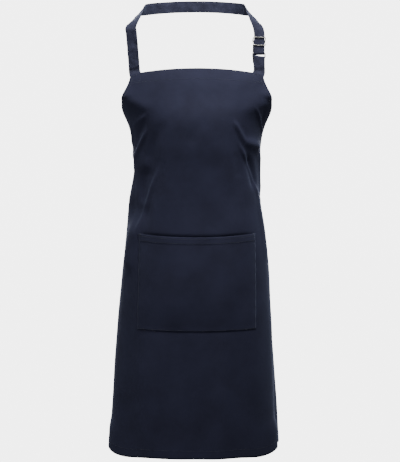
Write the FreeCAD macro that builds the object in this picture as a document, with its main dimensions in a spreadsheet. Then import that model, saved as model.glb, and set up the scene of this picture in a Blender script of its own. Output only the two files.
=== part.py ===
"""Bib apron with a patch pocket, an adjustable neck strap and waist ties tied in a bow behind.

Modelled as it hangs on a wearer. Millimetres. Origin at the middle of the neck strap's inner face,
where it rests on the back of the neck. +Z up, -Y towards the front, +X to the right seen from the front.

The cloth is described by where a point lies in the flat cut: its distance across from the middle,
and its drop below the top edge of the bib. cloth_point() wraps that cut round the wearer.
"""
import FreeCAD, Part
import math
import os
import Sketcher
from FreeCAD import Placement, Rotation, Vector

# Level: drop below the bib's top, half width, depth in front of the wearer's axis, depth behind it.
LEVELS = {
    "collar": (0, 192, 100, 82),
    "bust": (58, 196, 122, 86),
    "ribs": (115, 156, 126, 88),
    "midriff": (170, 144, 119, 89),
    "waist": (225, 141, 111, 90),
    "belly": (300, 150, 113, 104),
    "hips": (440, 165, 125, 120),
    "thighs": (640, 179, 139, 125),
    "knees": (860, 191, 153, 126),
}

DIMENSIONS = {
    "nape_height": 161,          # the origin above the bib's top edge
    "nape_behind": 75,           # the origin behind the wearer's axis
    "cloth_thick": 1.0,
    "section_power": 2.4,        # 2 is an ellipse, more is squarer
    "apron_length": 850,
    "bib_half_width": 150,
    "skirt_half_width": 360,
    "armhole_depth": 255,
    "armhole_power": 1.26,
    "corner_drop": 12,           # how far the bib's corners lie below its middle
    "waist_lift": 40,            # how far the ties pull up the skirt's top corners
    "hem_lift": 22,
    "hem_lean": 9,               # how far the hem hangs to the left
    "pocket_top": 367,
    "pocket_bottom": 576,
    "pocket_half_width": 136,
    "pocket_offset": 4,          # how far the pocket is set to the right
    "pocket_fullness": 9.5,      # how far the pocket's mouth stands off
    "thread_wide": 0.8,
    "thread_high": 0.3,
    "thread_lift": 0.12,         # the thread lies this far off the cloth
    "strap_width": 25,
    "strap_thick": 1.2,
    "riser_across": 138,
    "left_riser_lean": 6.5,      # how far out the left riser has leaned at the top of its run
    "riser_forward": 73,
    "riser_turn": 18,            # degrees, the risers face a little outwards
    "left_loop_wider": 1.08,     # the loop reaches out further on the left
    "fold_height": -5,           # where the neck loop folds, above the bib's top
    "fold_half_gap": 1.3,
    "tab_fold_half_gap": 1.8,
    "sewn_overlap": 26,          # how far a strap goes down behind the bib
    "ring_wire": 2.4,
    "ring_lower_bar": 26,        # heights above the bib's top
    "ring_upper_bar": 36.5,
    "ring_corner": 2.6,
    "loop_radius": 3.2,          # middle of the strap where it turns round a ring's bar
    "slider_wire": 2.0,
    "slider_height": 62,
    "slider_half_height": 8.6,
    "slider_corner": 2.6,
    "strap_clearance": 0.3,
    "rail_clearance": 0.9,
    "end_loop_wall": 1.1,
    "end_tail_depth": 9,
    "straight_top": 80,          # end of the straight run that the slider rides on
    "tie_width": 28,
    "tie_thick": 1.2,
    "tie_overlap": 26,
    "knot_wide": 24,
    "knot_deep": 15,
    "knot_high": 27,
    "label_wide": 34,
    "label_high": 48,
}

doc = FreeCAD.newDocument("bib_apron")
sheet = doc.addObject("Spreadsheet::Sheet", "dims")
parts = []


def fill_sheet():
    """One row a dimension: its name, and its value with the name as alias."""
    rows = dict(DIMENSIONS)
    for level, values in LEVELS.items():
        for what, value in zip(("drop", "half", "front", "back"), values):
            rows[f"{level}_{what}"] = value
    for line, (name, value) in enumerate(rows.items(), start=1):
        sheet.set(f"A{line}", name)
        sheet.set(f"B{line}", str(value))
        sheet.setAlias(f"B{line}", name)
    doc.recompute()


def dim(name):
    return float(sheet.get(name))


fill_sheet()

THICK = dim("cloth_thick")
SKIRT_HALF = dim("skirt_half_width")
ARMHOLE = dim("armhole_depth")
STRAP_WIDTH = dim("strap_width")
STRAP_THICK = dim("strap_thick")


# ---------------------------------------------------------------- the wearer and the cloth

def smooth(stations, at):
    """Value at a place on the cubic Hermite curve through (place, value) stations."""
    at = min(max(at, stations[0][0]), stations[-1][0])
    last = len(stations) - 1
    span = next(k for k in range(last) if at <= stations[k + 1][0])

    def slope(k):
        a, b = stations[max(k - 1, 0)], stations[min(k + 1, last)]
        return (b[1] - a[1]) / (b[0] - a[0])

    (x0, y0), (x1, y1) = stations[span], stations[span + 1]
    t = (at - x0) / (x1 - x0)
    rise = (x1 - x0) * ((t ** 3 - 2 * t ** 2 + t) * slope(span) + (t ** 3 - t ** 2) * slope(span + 1))
    return y0 + (y1 - y0) * (3 * t ** 2 - 2 * t ** 3) + rise


def stations_of(what):
    return [(dim(f"{level}_drop"), dim(f"{level}_{what}")) for level in LEVELS]


HALF, FRONT, BACK = stations_of("half"), stations_of("front"), stations_of("back")


def section_point(drop, across, steps=180):
    """Place and outward direction on the wearer's outline at one height, at a distance measured
    round it from the middle of the front. The outline is a superellipse, deeper in front."""
    half, front, back = smooth(HALF, drop), smooth(FRONT, drop), smooth(BACK, drop)
    power = 2 / dim("section_power")

    def outline(turn):
        deep = front if turn <= math.pi / 2 else back
        side = math.sin(turn) ** power if math.sin(turn) > 0 else 0.0
        ahead = math.copysign(abs(math.cos(turn)) ** power, -math.cos(turn))
        return Vector(half * side, deep * ahead, 0)

    gone, here = 0.0, outline(0.0)
    for k in range(1, steps + 1):
        there = outline(math.pi * k / steps)
        run = there.distanceToPoint(here)
        if gone + run >= abs(across) or k == steps:
            break
        gone, here = gone + run, there
    along = (there - here) / run
    place = here + along * (abs(across) - gone)
    outward = Vector(along.y, -along.x, 0)
    if across < 0:
        place.x, outward.x = -place.x, -outward.x
    return place, outward


def edge_across(drop):
    """Half width of the flat cut: the bib, the armhole's curve, then the skirt."""
    if drop >= ARMHOLE:
        return SKIRT_HALF
    power = dim("armhole_power")
    share = 1 - (1 - (drop / ARMHOLE) ** power) ** (1 / power)
    return dim("bib_half_width") + (SKIRT_HALF - dim("bib_half_width")) * share


def height_of(across, drop):
    """Height over the bib's top: the bib's corners sag, and the ties lift the skirt's sides."""
    share = (across / SKIRT_HALF) ** 2
    length = dim("apron_length")
    if drop <= ARMHOLE:
        lift = dim("waist_lift") * drop / ARMHOLE
    else:
        low = (drop - ARMHOLE) / (length - ARMHOLE)
        lift = dim("waist_lift") * (1 - low) + dim("hem_lift") * low
    fade = max(0.0, 1 - drop / ARMHOLE) ** 2
    sag = dim("corner_drop") * (across / dim("bib_half_width")) ** 2 * fade
    return lift * share - sag - drop


def cloth_frame(across, drop, out=0.0):
    """Place of a point of the cloth's outer face, moved out by a distance, and the way out."""
    height = height_of(across, drop)
    place, outward = section_point(-height, across)
    lean = dim("hem_lean") * (drop / dim("apron_length")) ** 2
    place = place + outward * out + Vector(-lean, 0, height)
    return place, outward


def to_part(point):
    """From the wearer's axis at the height of the bib's top to the part's own origin."""
    return point - Vector(0, dim("nape_behind"), dim("nape_height"))


def cloth_point(across, drop, out=0.0):
    return to_part(cloth_frame(across, drop, out)[0])


# ---------------------------------------------------------------- solids

def keep(name, shape):
    """Adds a worked-out shape to the document as the node of that name."""
    feature = doc.addObject("Part::Feature", name)
    feature.Shape = shape
    feature.Label = name
    parts.append(feature)
    return feature


def closed_solid(faces):
    shell = Part.makeShell(faces)
    shell.sewShape()
    solid = Part.makeSolid(shell)
    if solid.Volume < 0:
        solid.reverse()
    return solid


def curve_through(points):
    curve = Part.BSplineCurve()
    curve.interpolate(points)
    return curve.toShape()


def cloth_solid(rows, near, thick, pieces=28):
    """A piece of cloth that lies along the apron's surface. rows are (drop, left, right) in the
    flat cut, from top to bottom; near(u, v) is how far its inner face stands off the apron's outer
    face, with u from -1 to 1 across and v from 0 to 1 down. Each row is two smooth curves, and
    ruled faces join a row to the next."""
    wires, curves = [], []
    for k, (drop, left, right) in enumerate(rows):
        down = k / (len(rows) - 1)
        pair = []
        for extra in (thick, 0.0):
            line = []
            for i in range(pieces + 1):
                share = i / pieces
                out = near(2 * share - 1, down) + extra
                line.append(cloth_point(left + (right - left) * share, drop, out))
            pair.append(line)
        outer, inner = pair
        edges = (curve_through(outer), curve_through(inner))
        ends = (Part.makeLine(outer[-1], inner[-1]), Part.makeLine(inner[0], outer[0]))
        wires.append(Part.Wire([edges[0], ends[0], edges[1], ends[1]]))
        curves.append(edges)
    sides = Part.makeLoft(wires, False, True).Faces
    caps = [Part.makeRuledSurface(*curves[0]), Part.makeRuledSurface(*curves[-1])]
    return closed_solid(sides + caps)


def band_solid(frames, width, thick):
    """A flat band along frames of (middle, width direction, face direction)."""
    wires = []
    for middle, wide, face in frames:
        a, b = wide * (width / 2), face * (thick / 2)
        corners = [middle + a + b, middle - a + b, middle - a - b, middle + a - b]
        wires.append(Part.makePolygon(corners + corners[:1]))
    return Part.makeLoft(wires, True, True)


def along_points(points, steps):
    """Points on the smooth curve through the given ones, and the rate of change at each."""
    found = []
    last = len(points) - 1
    for k in range(last):
        p0, p1 = points[max(k - 1, 0)], points[k]
        p2, p3 = points[k + 1], points[min(k + 2, last)]
        m1, m2 = (p2 - p0) * 0.5, (p3 - p1) * 0.5
        for i in range(steps + (k == last - 1)):
            t = i / steps
            place = (p1 * (2 * t ** 3 - 3 * t ** 2 + 1) + m1 * (t ** 3 - 2 * t ** 2 + t)
                     + p2 * (3 * t ** 2 - 2 * t ** 3) + m2 * (t ** 3 - t ** 2))
            way = (p1 * (6 * t ** 2 - 6 * t) + m1 * (3 * t ** 2 - 4 * t + 1)
                   + p2 * (6 * t - 6 * t ** 2) + m2 * (3 * t ** 2 - 2 * t))
            found.append((place, way))
    return found


def frames_along(stations, steps):
    """Frames of a band through stations of (middle, rough width direction)."""
    middles = along_points([s[0] for s in stations], steps)
    hints = along_points([s[1] for s in stations], steps)
    frames = []
    for (middle, rate), (hint, _) in zip(middles, hints):
        way = Vector(rate).normalize()
        wide = (hint - way * hint.dot(way)).normalize()
        frames.append((middle, wide, wide.cross(way)))
    return frames


def thread_solid(run, out=lambda across, drop: 0.0):
    """A row of stitching along (across, drop) points of the flat cut. out is how far the cloth it
    lies on stands off the apron's outer face."""
    high = dim("thread_high")
    raised = dim("thread_lift") + high / 2
    found = [cloth_frame(across, drop, out(across, drop) + raised) for across, drop in run]
    frames = []
    for k, (place, outward) in enumerate(found):
        way = (found[min(k + 1, len(found) - 1)][0] - found[max(k - 1, 0)][0]).normalize()
        frames.append((to_part(place), outward.cross(way).normalize(), outward))
    return band_solid(frames, dim("thread_wide"), high)


def spread(start, end, count):
    return [start + (end - start) * k / count for k in range(count + 1)]


def line_run(a, b, count):
    """Straight line of points between two (across, drop) places."""
    return [(a[0] + (b[0] - a[0]) * t, a[1] + (b[1] - a[1]) * t) for t in spread(0, 1, count)]


# ---------------------------------------------------------------- apron, pocket, label

def armhole_drops(count):
    """Drops that divide the armhole's curve evenly."""
    power = dim("armhole_power")
    return [ARMHOLE * math.sin(t) ** (2 / power) for t in spread(0, math.pi / 2, count)]


def make_panel():
    drops = armhole_drops(14) + spread(ARMHOLE, dim("apron_length"), 15)[1:]
    rows = [(drop, -edge_across(drop), edge_across(drop)) for drop in drops]
    keep("front_panel", cloth_solid(rows, lambda u, v: -THICK, THICK, 40))


def pocket_gap(u, v):
    """The pocket stands off most at the middle of its mouth and lies flat along its seams."""
    return 0.02 + dim("pocket_fullness") * (1 - u ** 4) * (1 - v ** 4)


def pocket_face(across, drop):
    """How far the pocket's outer face stands off the apron's."""
    top, low = dim("pocket_top"), dim("pocket_bottom")
    u = (across - dim("pocket_offset")) / dim("pocket_half_width")
    return pocket_gap(u, (drop - top) / (low - top)) + THICK


def make_pocket():
    half, middle = dim("pocket_half_width"), dim("pocket_offset")
    drops = spread(dim("pocket_top"), dim("pocket_bottom"), 9)
    rows = [(drop, middle - half, middle + half) for drop in drops]
    keep("pocket", cloth_solid(rows, pocket_gap, THICK))


def make_label():
    half, top = dim("label_wide") / 2, 26
    rows = [(drop, -half, half) for drop in spread(top, top + dim("label_high"), 3)]
    keep("care_label", cloth_solid(rows, lambda u, v: -THICK - 1.4, 0.4, 6))


# ---------------------------------------------------------------- neck strap

TURN = math.radians(dim("riser_turn"))


def riser_frame(side):
    """Width direction and face direction of a riser, for side 1 at the right or -1 at the left."""
    wide = Vector(math.cos(TURN), side * math.sin(TURN), 0)
    face = Vector(side * math.sin(TURN), -math.cos(TURN), 0)
    return wide, face


def riser_point(side, height, behind=0.0, sideways=0.0):
    """A point of a riser: its height over the bib's top and how far behind the strap's middle."""
    wide, face = riser_frame(side)
    lean = dim("left_riser_lean") * height / dim("straight_top") if side < 0 else 0
    middle = Vector(side * (dim("riser_across") + lean), -dim("riser_forward"), height)
    return to_part(middle - face * behind + wide * sideways)


def sewn_stations(side, behind):
    """The strap's end behind the bib, from its lower end up to the fold: it lies on the cloth's
    inner face and turns to face the way that the riser does."""
    across = side * (dim("bib_half_width") - 1 - STRAP_WIDTH / 2)
    stations = []
    low = -dim("fold_height") + dim("sewn_overlap")
    for drop in (low, low - 8, low - 16):
        middle, outward = cloth_frame(across, drop, -THICK - 1.6 - behind)
        stations.append((to_part(middle), Vector(-outward.y, outward.x, 0) * 1.0))
    return stations


def straight_frames(side, heights, behind=0.0):
    wide, face = riser_frame(side)
    return [(riser_point(side, height, behind), wide, face) for height in heights]


def half_turn(side, bar_height, way_up, radius, count=10):
    """Frames round a ring's bar, from the strap's front layer to its back layer. way_up is 1
    where the strap passes over the bar and -1 where it passes under it."""
    wide, face = riser_frame(side)
    frames = []
    for turn in spread(0, math.pi, count):
        behind = radius * (1 - math.cos(turn))
        height = bar_height + way_up * radius * math.sin(turn)
        out = face * math.cos(turn) + Vector(0, 0, way_up * math.sin(turn))
        frames.append((riser_point(side, height, behind), wide, out))
    return frames


def loop_stations():
    """Right half of the neck loop above the riser: over the shoulder to the back of the neck.
    Each is (middle, width direction), and the band's outer edge becomes its lower one."""
    places = (
        ((135, -71, 93), (0.93, 0.28, -0.23)),
        ((128.5, -62, 107), (0.80, 0.24, -0.55)),
        ((122, -38, 123), (0.68, 0.12, -0.72)),
        ((117.5, -2, 138), (0.48, 0, -0.88)),
        ((107, 34, 148), (0.12, -0.03, -1)),
        ((83, 60, 155), (0.02, -0.03, -1)),
        ((44, 72, 159.5), (0, 0, -1)),
    )
    return [(Vector(*place), Vector(*wide)) for place, wide in places]


def make_neck_strap():
    """One band: left riser, round the neck, right riser, and round the ring's upper bar."""
    top, fold = dim("straight_top"), dim("fold_height") + dim("fold_half_gap")
    right = loop_stations()
    wider = dim("left_loop_wider")
    left = [(Vector(-p.x * wider, p.y, p.z), Vector(w.x, -w.y, -w.z)) for p, w in right]
    nape = (Vector(0, dim("nape_behind") + STRAP_THICK / 2, dim("nape_height")), Vector(0, 0, 1))
    flipped = [(p, w * -1) for p, w in reversed(right)]
    middle = [(to_part(p), w) for p, w in left + [nape] + flipped]
    wide_left, wide_right = riser_frame(-1)[0], riser_frame(1)[0] * -1
    start = [(riser_point(-1, height), wide_left) for height in (fold, 40, top)]
    end = [(riser_point(1, top), wide_right)]
    lower = spread(top, dim("ring_upper_bar"), 4)[1:]
    right_side = straight_frames(1, lower[:-1]) + half_turn(1, dim("ring_upper_bar"), -1,
                                                            dim("loop_radius"))
    right_side = [(p, w * -1, f) for p, w, f in right_side]
    frames = frames_along(start + middle + end, 4)
    keep("neck_strap", band_solid(frames + right_side, STRAP_WIDTH, STRAP_THICK))


def make_strap_return():
    """The strap's run from the ring back up to its sewn end at the slider."""
    low = dim("ring_upper_bar")
    high = dim("slider_height") - dim("end_tail_depth") - dim("strap_clearance")
    frames = straight_frames(1, (low + 0.02, high), 2 * dim("loop_radius"))
    keep("strap_return", band_solid(frames, STRAP_WIDTH, STRAP_THICK))


def make_strap_tab():
    """The short tab: up from the bib, over the ring's lower bar and down behind itself."""
    fold = dim("fold_height") + dim("tab_fold_half_gap")
    bar, radius = dim("ring_lower_bar"), dim("loop_radius")
    layer = STRAP_THICK + 0.05
    front = straight_frames(1, (fold, 12, bar))
    over = half_turn(1, bar, 1, radius)[1:-1]
    wide, face = riser_frame(1)
    back = [(riser_point(1, bar, 2 * radius), wide, face * -1)]
    back += [(riser_point(1, height, behind), wide, face * -1)
             for height, behind in ((18, 2 * radius - 0.6), (9, layer + 0.5), (fold, layer))]
    keep("strap_tab", band_solid(front + over + back, STRAP_WIDTH, STRAP_THICK))


def make_sewn_ends():
    """The parts of the strap and of the tab that are sewn to the back of the bib."""
    gaps = {-1: dim("fold_half_gap"), 1: dim("tab_fold_half_gap")}
    for side, name in ((-1, "left_strap_end"), (1, "right_tab_end")):
        layers = 1 if side < 0 else 2
        thick = STRAP_THICK * layers + 0.05 * (layers - 1)
        behind = (thick - STRAP_THICK) / 2
        stations = sewn_stations(side, thick / 2)
        for height in (dim("fold_height") - gaps[side] - 4, dim("fold_height") - gaps[side]):
            stations.append((riser_point(side, height, behind), riser_frame(side)[0]))
        keep(name, band_solid(frames_along(stations, 3), STRAP_WIDTH, thick))


# ---------------------------------------------------------------- ring and slider

def bind(thing, **expressions):
    """Ties properties of a document object to the dimension sheet."""
    for name, expression in expressions.items():
        thing.setExpression(name.replace("__", "."), expression)


def origin_plane(body, role):
    return next(f for f in body.Origin.OriginFeatures if f.Role == role)


def new_sketch(body, name, role):
    sketch = body.newObject("Sketcher::SketchObject", name)
    sketch.AttachmentSupport = (origin_plane(body, role), "")
    sketch.MapMode = "FlatFace"
    return sketch


def named_constraint(sketch, name, expression, *constraint):
    index = sketch.addConstraint(Sketcher.Constraint(*constraint))
    sketch.renameConstraint(index, name)
    sketch.setExpression(f"Constraints.{name}", expression)


def rounded_run(sketch, corners, radius):
    """Lines through the corner points, joined by tangent arcs at the inner ones. Returns nothing;
    the lines have even places in the sketch and the arcs odd ones."""
    start = corners[0]
    for k in range(1, len(corners)):
        here = corners[k]
        into = (here - corners[k - 1]).normalize()
        if k == len(corners) - 1:
            sketch.addGeometry(Part.LineSegment(start, here))
            break
        out = (corners[k + 1] - here).normalize()
        before, after = here - into * radius, here + out * radius
        middle = here - (into - out) * radius + (into - out) * (radius / math.sqrt(2))
        sketch.addGeometry(Part.LineSegment(start, before))
        sketch.addGeometry(Part.Arc(before, middle, after))
        start = after


def join_run(sketch, arcs, closed):
    """Makes each arc of a rounded run tangent to the lines beside it, and all arcs alike."""
    for k in range(arcs):
        line, arc = 2 * k, 2 * k + 1
        turns_left = sketch.Geometry[arc].Axis.z > 0
        first, last = (1, 2) if turns_left else (2, 1)
        sketch.addConstraint(Sketcher.Constraint("Tangent", line, 2, arc, first))
        sketch.addConstraint(Sketcher.Constraint("Tangent", arc, last, line + 2, 1))
        if k:
            sketch.addConstraint(Sketcher.Constraint("Equal", 1, arc))
    if closed:
        sketch.addConstraint(Sketcher.Constraint("Coincident", 2 * arcs, 2, 0, 1))


def riser_placement(height, behind):
    turn = Rotation(Vector(0, 0, 1), math.degrees(TURN))
    return Placement(riser_point(1, height, behind), turn)


def wire_pipe(body, name, path, profile):
    doc.recompute()
    pipe = body.newObject("PartDesign::AdditivePipe", name)
    pipe.Profile = (profile, [""])
    pipe.Spine = (path, [f"Edge{k + 1}" for k in range(len(path.Geometry))])
    body.Tip = pipe
    doc.recompute()
    return pipe


def make_ring():
    """Rectangular wire ring: a round wire along a rounded rectangle."""
    body = doc.addObject("PartDesign::Body", "strap_ring")
    half_wide = STRAP_WIDTH / 2 + dim("rail_clearance") + dim("ring_wire") / 2
    half_high = (dim("ring_upper_bar") - dim("ring_lower_bar")) / 2
    path = new_sketch(body, "ring_path", "XZ_Plane")
    corners = [Vector(0, -half_high, 0), Vector(half_wide, -half_high, 0),
               Vector(half_wide, half_high, 0), Vector(-half_wide, half_high, 0),
               Vector(-half_wide, -half_high, 0), Vector(0, -half_high, 0)]
    rounded_run(path, corners, dim("ring_corner"))
    join_run(path, 4, True)
    for line in (0, 4, 8):
        path.addConstraint(Sketcher.Constraint("Horizontal", line))
    for line in (2, 6):
        path.addConstraint(Sketcher.Constraint("Vertical", line))
    named_constraint(path, "corner", "dims.ring_corner", "Radius", 1, dim("ring_corner"))
    wide = "dims.strap_width / 2 + dims.rail_clearance + dims.ring_wire / 2"
    high = "(dims.ring_upper_bar - dims.ring_lower_bar) / 2"
    named_constraint(path, "right_rail", wide, "DistanceX", -1, 1, 2, 1, half_wide)
    named_constraint(path, "left_rail", wide, "DistanceX", 6, 1, -1, 1, half_wide)
    named_constraint(path, "top_bar", high, "DistanceY", -1, 1, 4, 1, half_high)
    named_constraint(path, "low_bar", high, "DistanceY", 0, 1, -1, 1, half_high)
    path.addConstraint(Sketcher.Constraint("DistanceX", -1, 1, 0, 1, 0))
    profile = new_sketch(body, "ring_wire_section", "YZ_Plane")
    profile.addGeometry(Part.Circle(Vector(0, -half_high, 0), Vector(0, 0, 1), dim("ring_wire") / 2))
    named_constraint(profile, "wire", "dims.ring_wire / 2", "Radius", 0, dim("ring_wire") / 2)
    named_constraint(profile, "low_bar", high, "DistanceY", 0, 3, -1, 1, half_high)
    profile.addConstraint(Sketcher.Constraint("PointOnObject", 0, 3, -2))
    wire_pipe(body, "ring_wire_run", path, profile)
    body.Placement = riser_placement(
        (dim("ring_upper_bar") + dim("ring_lower_bar")) / 2, dim("loop_radius"))
    body.Label = "strap_ring"
    parts.append(body)


def slider_depths():
    """How far behind the strap's middle the slider's outer bars and its middle bar lie."""
    wire, gap = dim("slider_wire") / 2, dim("strap_clearance")
    front = -(STRAP_THICK / 2 + gap + wire)
    middle = STRAP_THICK / 2 + gap + dim("end_loop_wall") + gap + wire
    return front, middle


def make_slider_frame():
    """Wire frame of the slider, bent like a shallow V so that the strap runs straight between its
    outer bars in front and its middle bar behind. The upper half is a U, and is mirrored."""
    front, middle = slider_depths()
    reach = math.hypot(middle - front, dim("slider_half_height"))
    bend = math.degrees(math.atan2(middle - front, dim("slider_half_height")))
    half_wide = STRAP_WIDTH / 2 + dim("rail_clearance") + dim("slider_wire") / 2
    body = doc.addObject("PartDesign::Body", "slider_frame")
    path = new_sketch(body, "slider_path", "XZ_Plane")
    path.AttachmentOffset = Placement(Vector(), Rotation(Vector(1, 0, 0), bend))
    corners = [Vector(half_wide, 0, 0), Vector(half_wide, reach, 0),
               Vector(-half_wide, reach, 0), Vector(-half_wide, 0, 0)]
    rounded_run(path, corners, dim("slider_corner"))
    join_run(path, 2, False)
    path.addConstraint(Sketcher.Constraint("Vertical", 0))
    path.addConstraint(Sketcher.Constraint("Horizontal", 2))
    path.addConstraint(Sketcher.Constraint("Vertical", 4))
    named_constraint(path, "corner", "dims.slider_corner", "Radius", 1, dim("slider_corner"))
    wide = "dims.strap_width / 2 + dims.rail_clearance + dims.slider_wire / 2"
    named_constraint(path, "right_rail", wide, "DistanceX", -1, 1, 0, 1, half_wide)
    named_constraint(path, "left_rail", wide, "DistanceX", 4, 2, -1, 1, half_wide)
    path.addConstraint(Sketcher.Constraint("DistanceY", -1, 1, 2, 1, reach))
    path.addConstraint(Sketcher.Constraint("PointOnObject", 0, 1, -1))
    path.addConstraint(Sketcher.Constraint("PointOnObject", 4, 2, -1))
    profile = new_sketch(body, "slider_wire_section", "XY_Plane")
    profile.AttachmentOffset = Placement(Vector(), Rotation(Vector(1, 0, 0), bend))
    wire = dim("slider_wire") / 2
    profile.addGeometry(Part.Circle(Vector(half_wide, 0, 0), Vector(0, 0, 1), wire))
    named_constraint(profile, "wire", "dims.slider_wire / 2", "Radius", 0, wire)
    named_constraint(profile, "rail", wide, "DistanceX", -1, 1, 0, 3, half_wide)
    profile.addConstraint(Sketcher.Constraint("PointOnObject", 0, 3, -1))
    pipe = wire_pipe(body, "slider_wire_run", path, profile)
    mirrored = body.newObject("PartDesign::Mirrored", "slider_lower_half")
    mirrored.Originals = [pipe]
    mirrored.MirrorPlane = (origin_plane(body, "XY_Plane"), [""])
    body.Tip = mirrored
    doc.recompute()
    body.Placement = riser_placement(dim("slider_height"), middle)
    body.Label = "slider_frame"
    parts.append(body)


def make_slider_bar():
    """The slider's middle bar, with an eye at each end crimped round the frame's rail."""
    half_wide = STRAP_WIDTH / 2 + dim("rail_clearance") + dim("slider_wire") / 2
    place = riser_placement(dim("slider_height"), slider_depths()[1])
    bar = doc.addObject("Part::Cylinder", "middle_bar")
    bind(bar, Radius="dims.slider_wire / 2",
         Height="dims.strap_width + 2 * dims.rail_clearance - dims.slider_wire * 0.6")
    doc.recompute()
    across = Placement(Vector(-bar.Height.Value / 2, 0, 0), Rotation(Vector(0, 1, 0), 90))
    bar.Placement = place.multiply(across)
    shapes = [bar]
    for side in (-1, 1):
        eye = doc.addObject("Part::Torus", "bar_eye")
        bind(eye, Radius1="dims.slider_wire * 0.72", Radius2="dims.slider_wire * 0.2")
        eye.Placement = place.multiply(Placement(Vector(side * half_wide, 0, 0), Rotation()))
        shapes.append(eye)
    fused = doc.addObject("Part::MultiFuse", "slider_bar")
    fused.Shapes = shapes
    doc.recompute()
    fused.Label = "slider_bar"
    parts.append(fused)


def make_end_loop():
    """The strap's own end: wrapped round the middle bar and sewn down below it."""
    depth = slider_depths()[1]
    inner = dim("slider_wire") / 2 + dim("strap_clearance")
    outer = inner + dim("end_loop_wall")
    place = riser_placement(dim("slider_height"), depth)
    width = STRAP_WIDTH
    lay_across = Placement(Vector(-width / 2, 0, 0), Rotation(Vector(0, 1, 0), 90))
    tube = Part.makeCylinder(outer, width)
    tube.Placement = lay_across
    back = 2 * dim("loop_radius") + STRAP_THICK / 2 - depth
    front = back - 2 * dim("end_loop_wall") - 0.3
    tail = Part.makeBox(width, back - front, dim("end_tail_depth"))
    tail.Placement = Placement(Vector(-width / 2, front, -dim("end_tail_depth")), Rotation())
    hole = Part.makeCylinder(inner, width + 2)
    hole.Placement = Placement(Vector(-width / 2 - 1, 0, 0), Rotation(Vector(0, 1, 0), 90))
    shape = tube.fuse(tail).cut(hole).removeSplitter()
    shape.Placement = place
    keep("strap_end_loop", shape)


# ---------------------------------------------------------------- waist ties

def wearer_point(x, behind_axis, height):
    return to_part(Vector(x, behind_axis, height))


TIE_TOP = height_of(SKIRT_HALF, ARMHOLE)
KNOT_HEIGHT = TIE_TOP - dim("tie_width") / 2
KNOT_BEHIND = smooth(BACK, -KNOT_HEIGHT) + dim("knot_deep") / 2 + 4


def make_tie_ends():
    """From the sewn overlap inside the skirt's corner, across the gap, into the knot."""
    thick = dim("tie_thick")
    for side, name in ((-1, "left_tie_end"), (1, "right_tie_end")):
        stations = []
        middle_drop = ARMHOLE + dim("tie_width") / 2
        for inset in (dim("tie_overlap"), dim("tie_overlap") / 2, 4):
            across = side * (SKIRT_HALF - inset)
            lies = -THICK - 0.6 - thick / 2
            up = cloth_point(across, middle_drop - 10, lies) - cloth_point(across, middle_drop + 10,
                                                                           lies)
            stations.append((cloth_point(across, middle_drop, lies), up.normalize() * side))
        inside = side * dim("knot_wide") / 4
        for x, behind, rise in ((side * 19, -7.5, 1), (inside, -4.5, 0)):
            place = wearer_point(x, KNOT_BEHIND + behind, KNOT_HEIGHT + rise)
            stations.append((place, Vector(0, 0, side)))
        keep(name, band_solid(frames_along(stations, 4), dim("tie_width"), thick))


def make_knot():
    box = doc.addObject("Part::Box", "knot_block")
    bind(box, Length="dims.knot_wide", Width="dims.knot_deep", Height="dims.knot_high")
    doc.recompute()
    corner = Vector(-dim("knot_wide") / 2, KNOT_BEHIND - dim("knot_deep") / 2,
                    KNOT_HEIGHT - dim("knot_high") / 2)
    box.Placement.Base = to_part(corner)
    knot = doc.addObject("Part::Fillet", "bow_knot")
    knot.Base = box
    doc.recompute()
    knot.Edges = [(k + 1, 4.5, 4.5) for k in range(len(box.Shape.Edges))]
    doc.recompute()
    knot.Label = "bow_knot"
    parts.append(knot)


def make_bow_loops():
    """A drooping loop each side of the knot: out, round and back nearer the wearer."""
    places = ((5, 4, 0), (32, 10, 3), (74, 13, -6), (108, 11, -24), (123, 5, -38),
              (112, 0, -32), (76, -1, -14), (34, 0, -1), (5, 1, 0))
    for side, name in ((-1, "left_bow_loop"), (1, "right_bow_loop")):
        stations = []
        for k, (x, y, z) in enumerate(places):
            lean = -0.35 if k < len(places) / 2 else -0.25
            upright = Vector(0.12 + 0.3 * (k in (3, 4, 5)), lean, 1)
            if k > 4:
                upright = upright + Vector(0, -0.1, 0)
            middle = wearer_point(side * x, KNOT_BEHIND + y, KNOT_HEIGHT + z)
            stations.append((middle, Vector(side * upright.x, upright.y, upright.z)))
        keep(name, band_solid(frames_along(stations, 4), dim("tie_width") - 2, dim("tie_thick")))


def tail_stations(side):
    """A tie's free end: down from the knot, over the hips and straight down."""
    below = (-dim("knot_high") / 2 - 4, -52, -118, -190, -270, -350, -432)
    sideways = (16.5, 20, 24, 26, 27, 30, 31)
    stations = []
    for drop, x in zip(below, sideways):
        height = KNOT_HEIGHT + drop
        behind = max(KNOT_BEHIND + 2, smooth(BACK, -height) + 4)
        turn = math.radians(8 + 0.04 * drop)
        wide = Vector(math.cos(turn), side * math.sin(turn), 0)
        stations.append((wearer_point(side * x, behind, height), wide))
    return stations


def make_tie_tails():
    for side, name in ((-1, "left_tie_tail"), (1, "right_tie_tail")):
        frames = frames_along(tail_stations(side), 3)
        keep(name, band_solid(frames, dim("tie_width"), dim("tie_thick")))


# ---------------------------------------------------------------- stitching

HEM_TOP, HEM_LOW, HEM_SIDE, HEM_ARM = 24, 18, 11, 8


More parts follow.
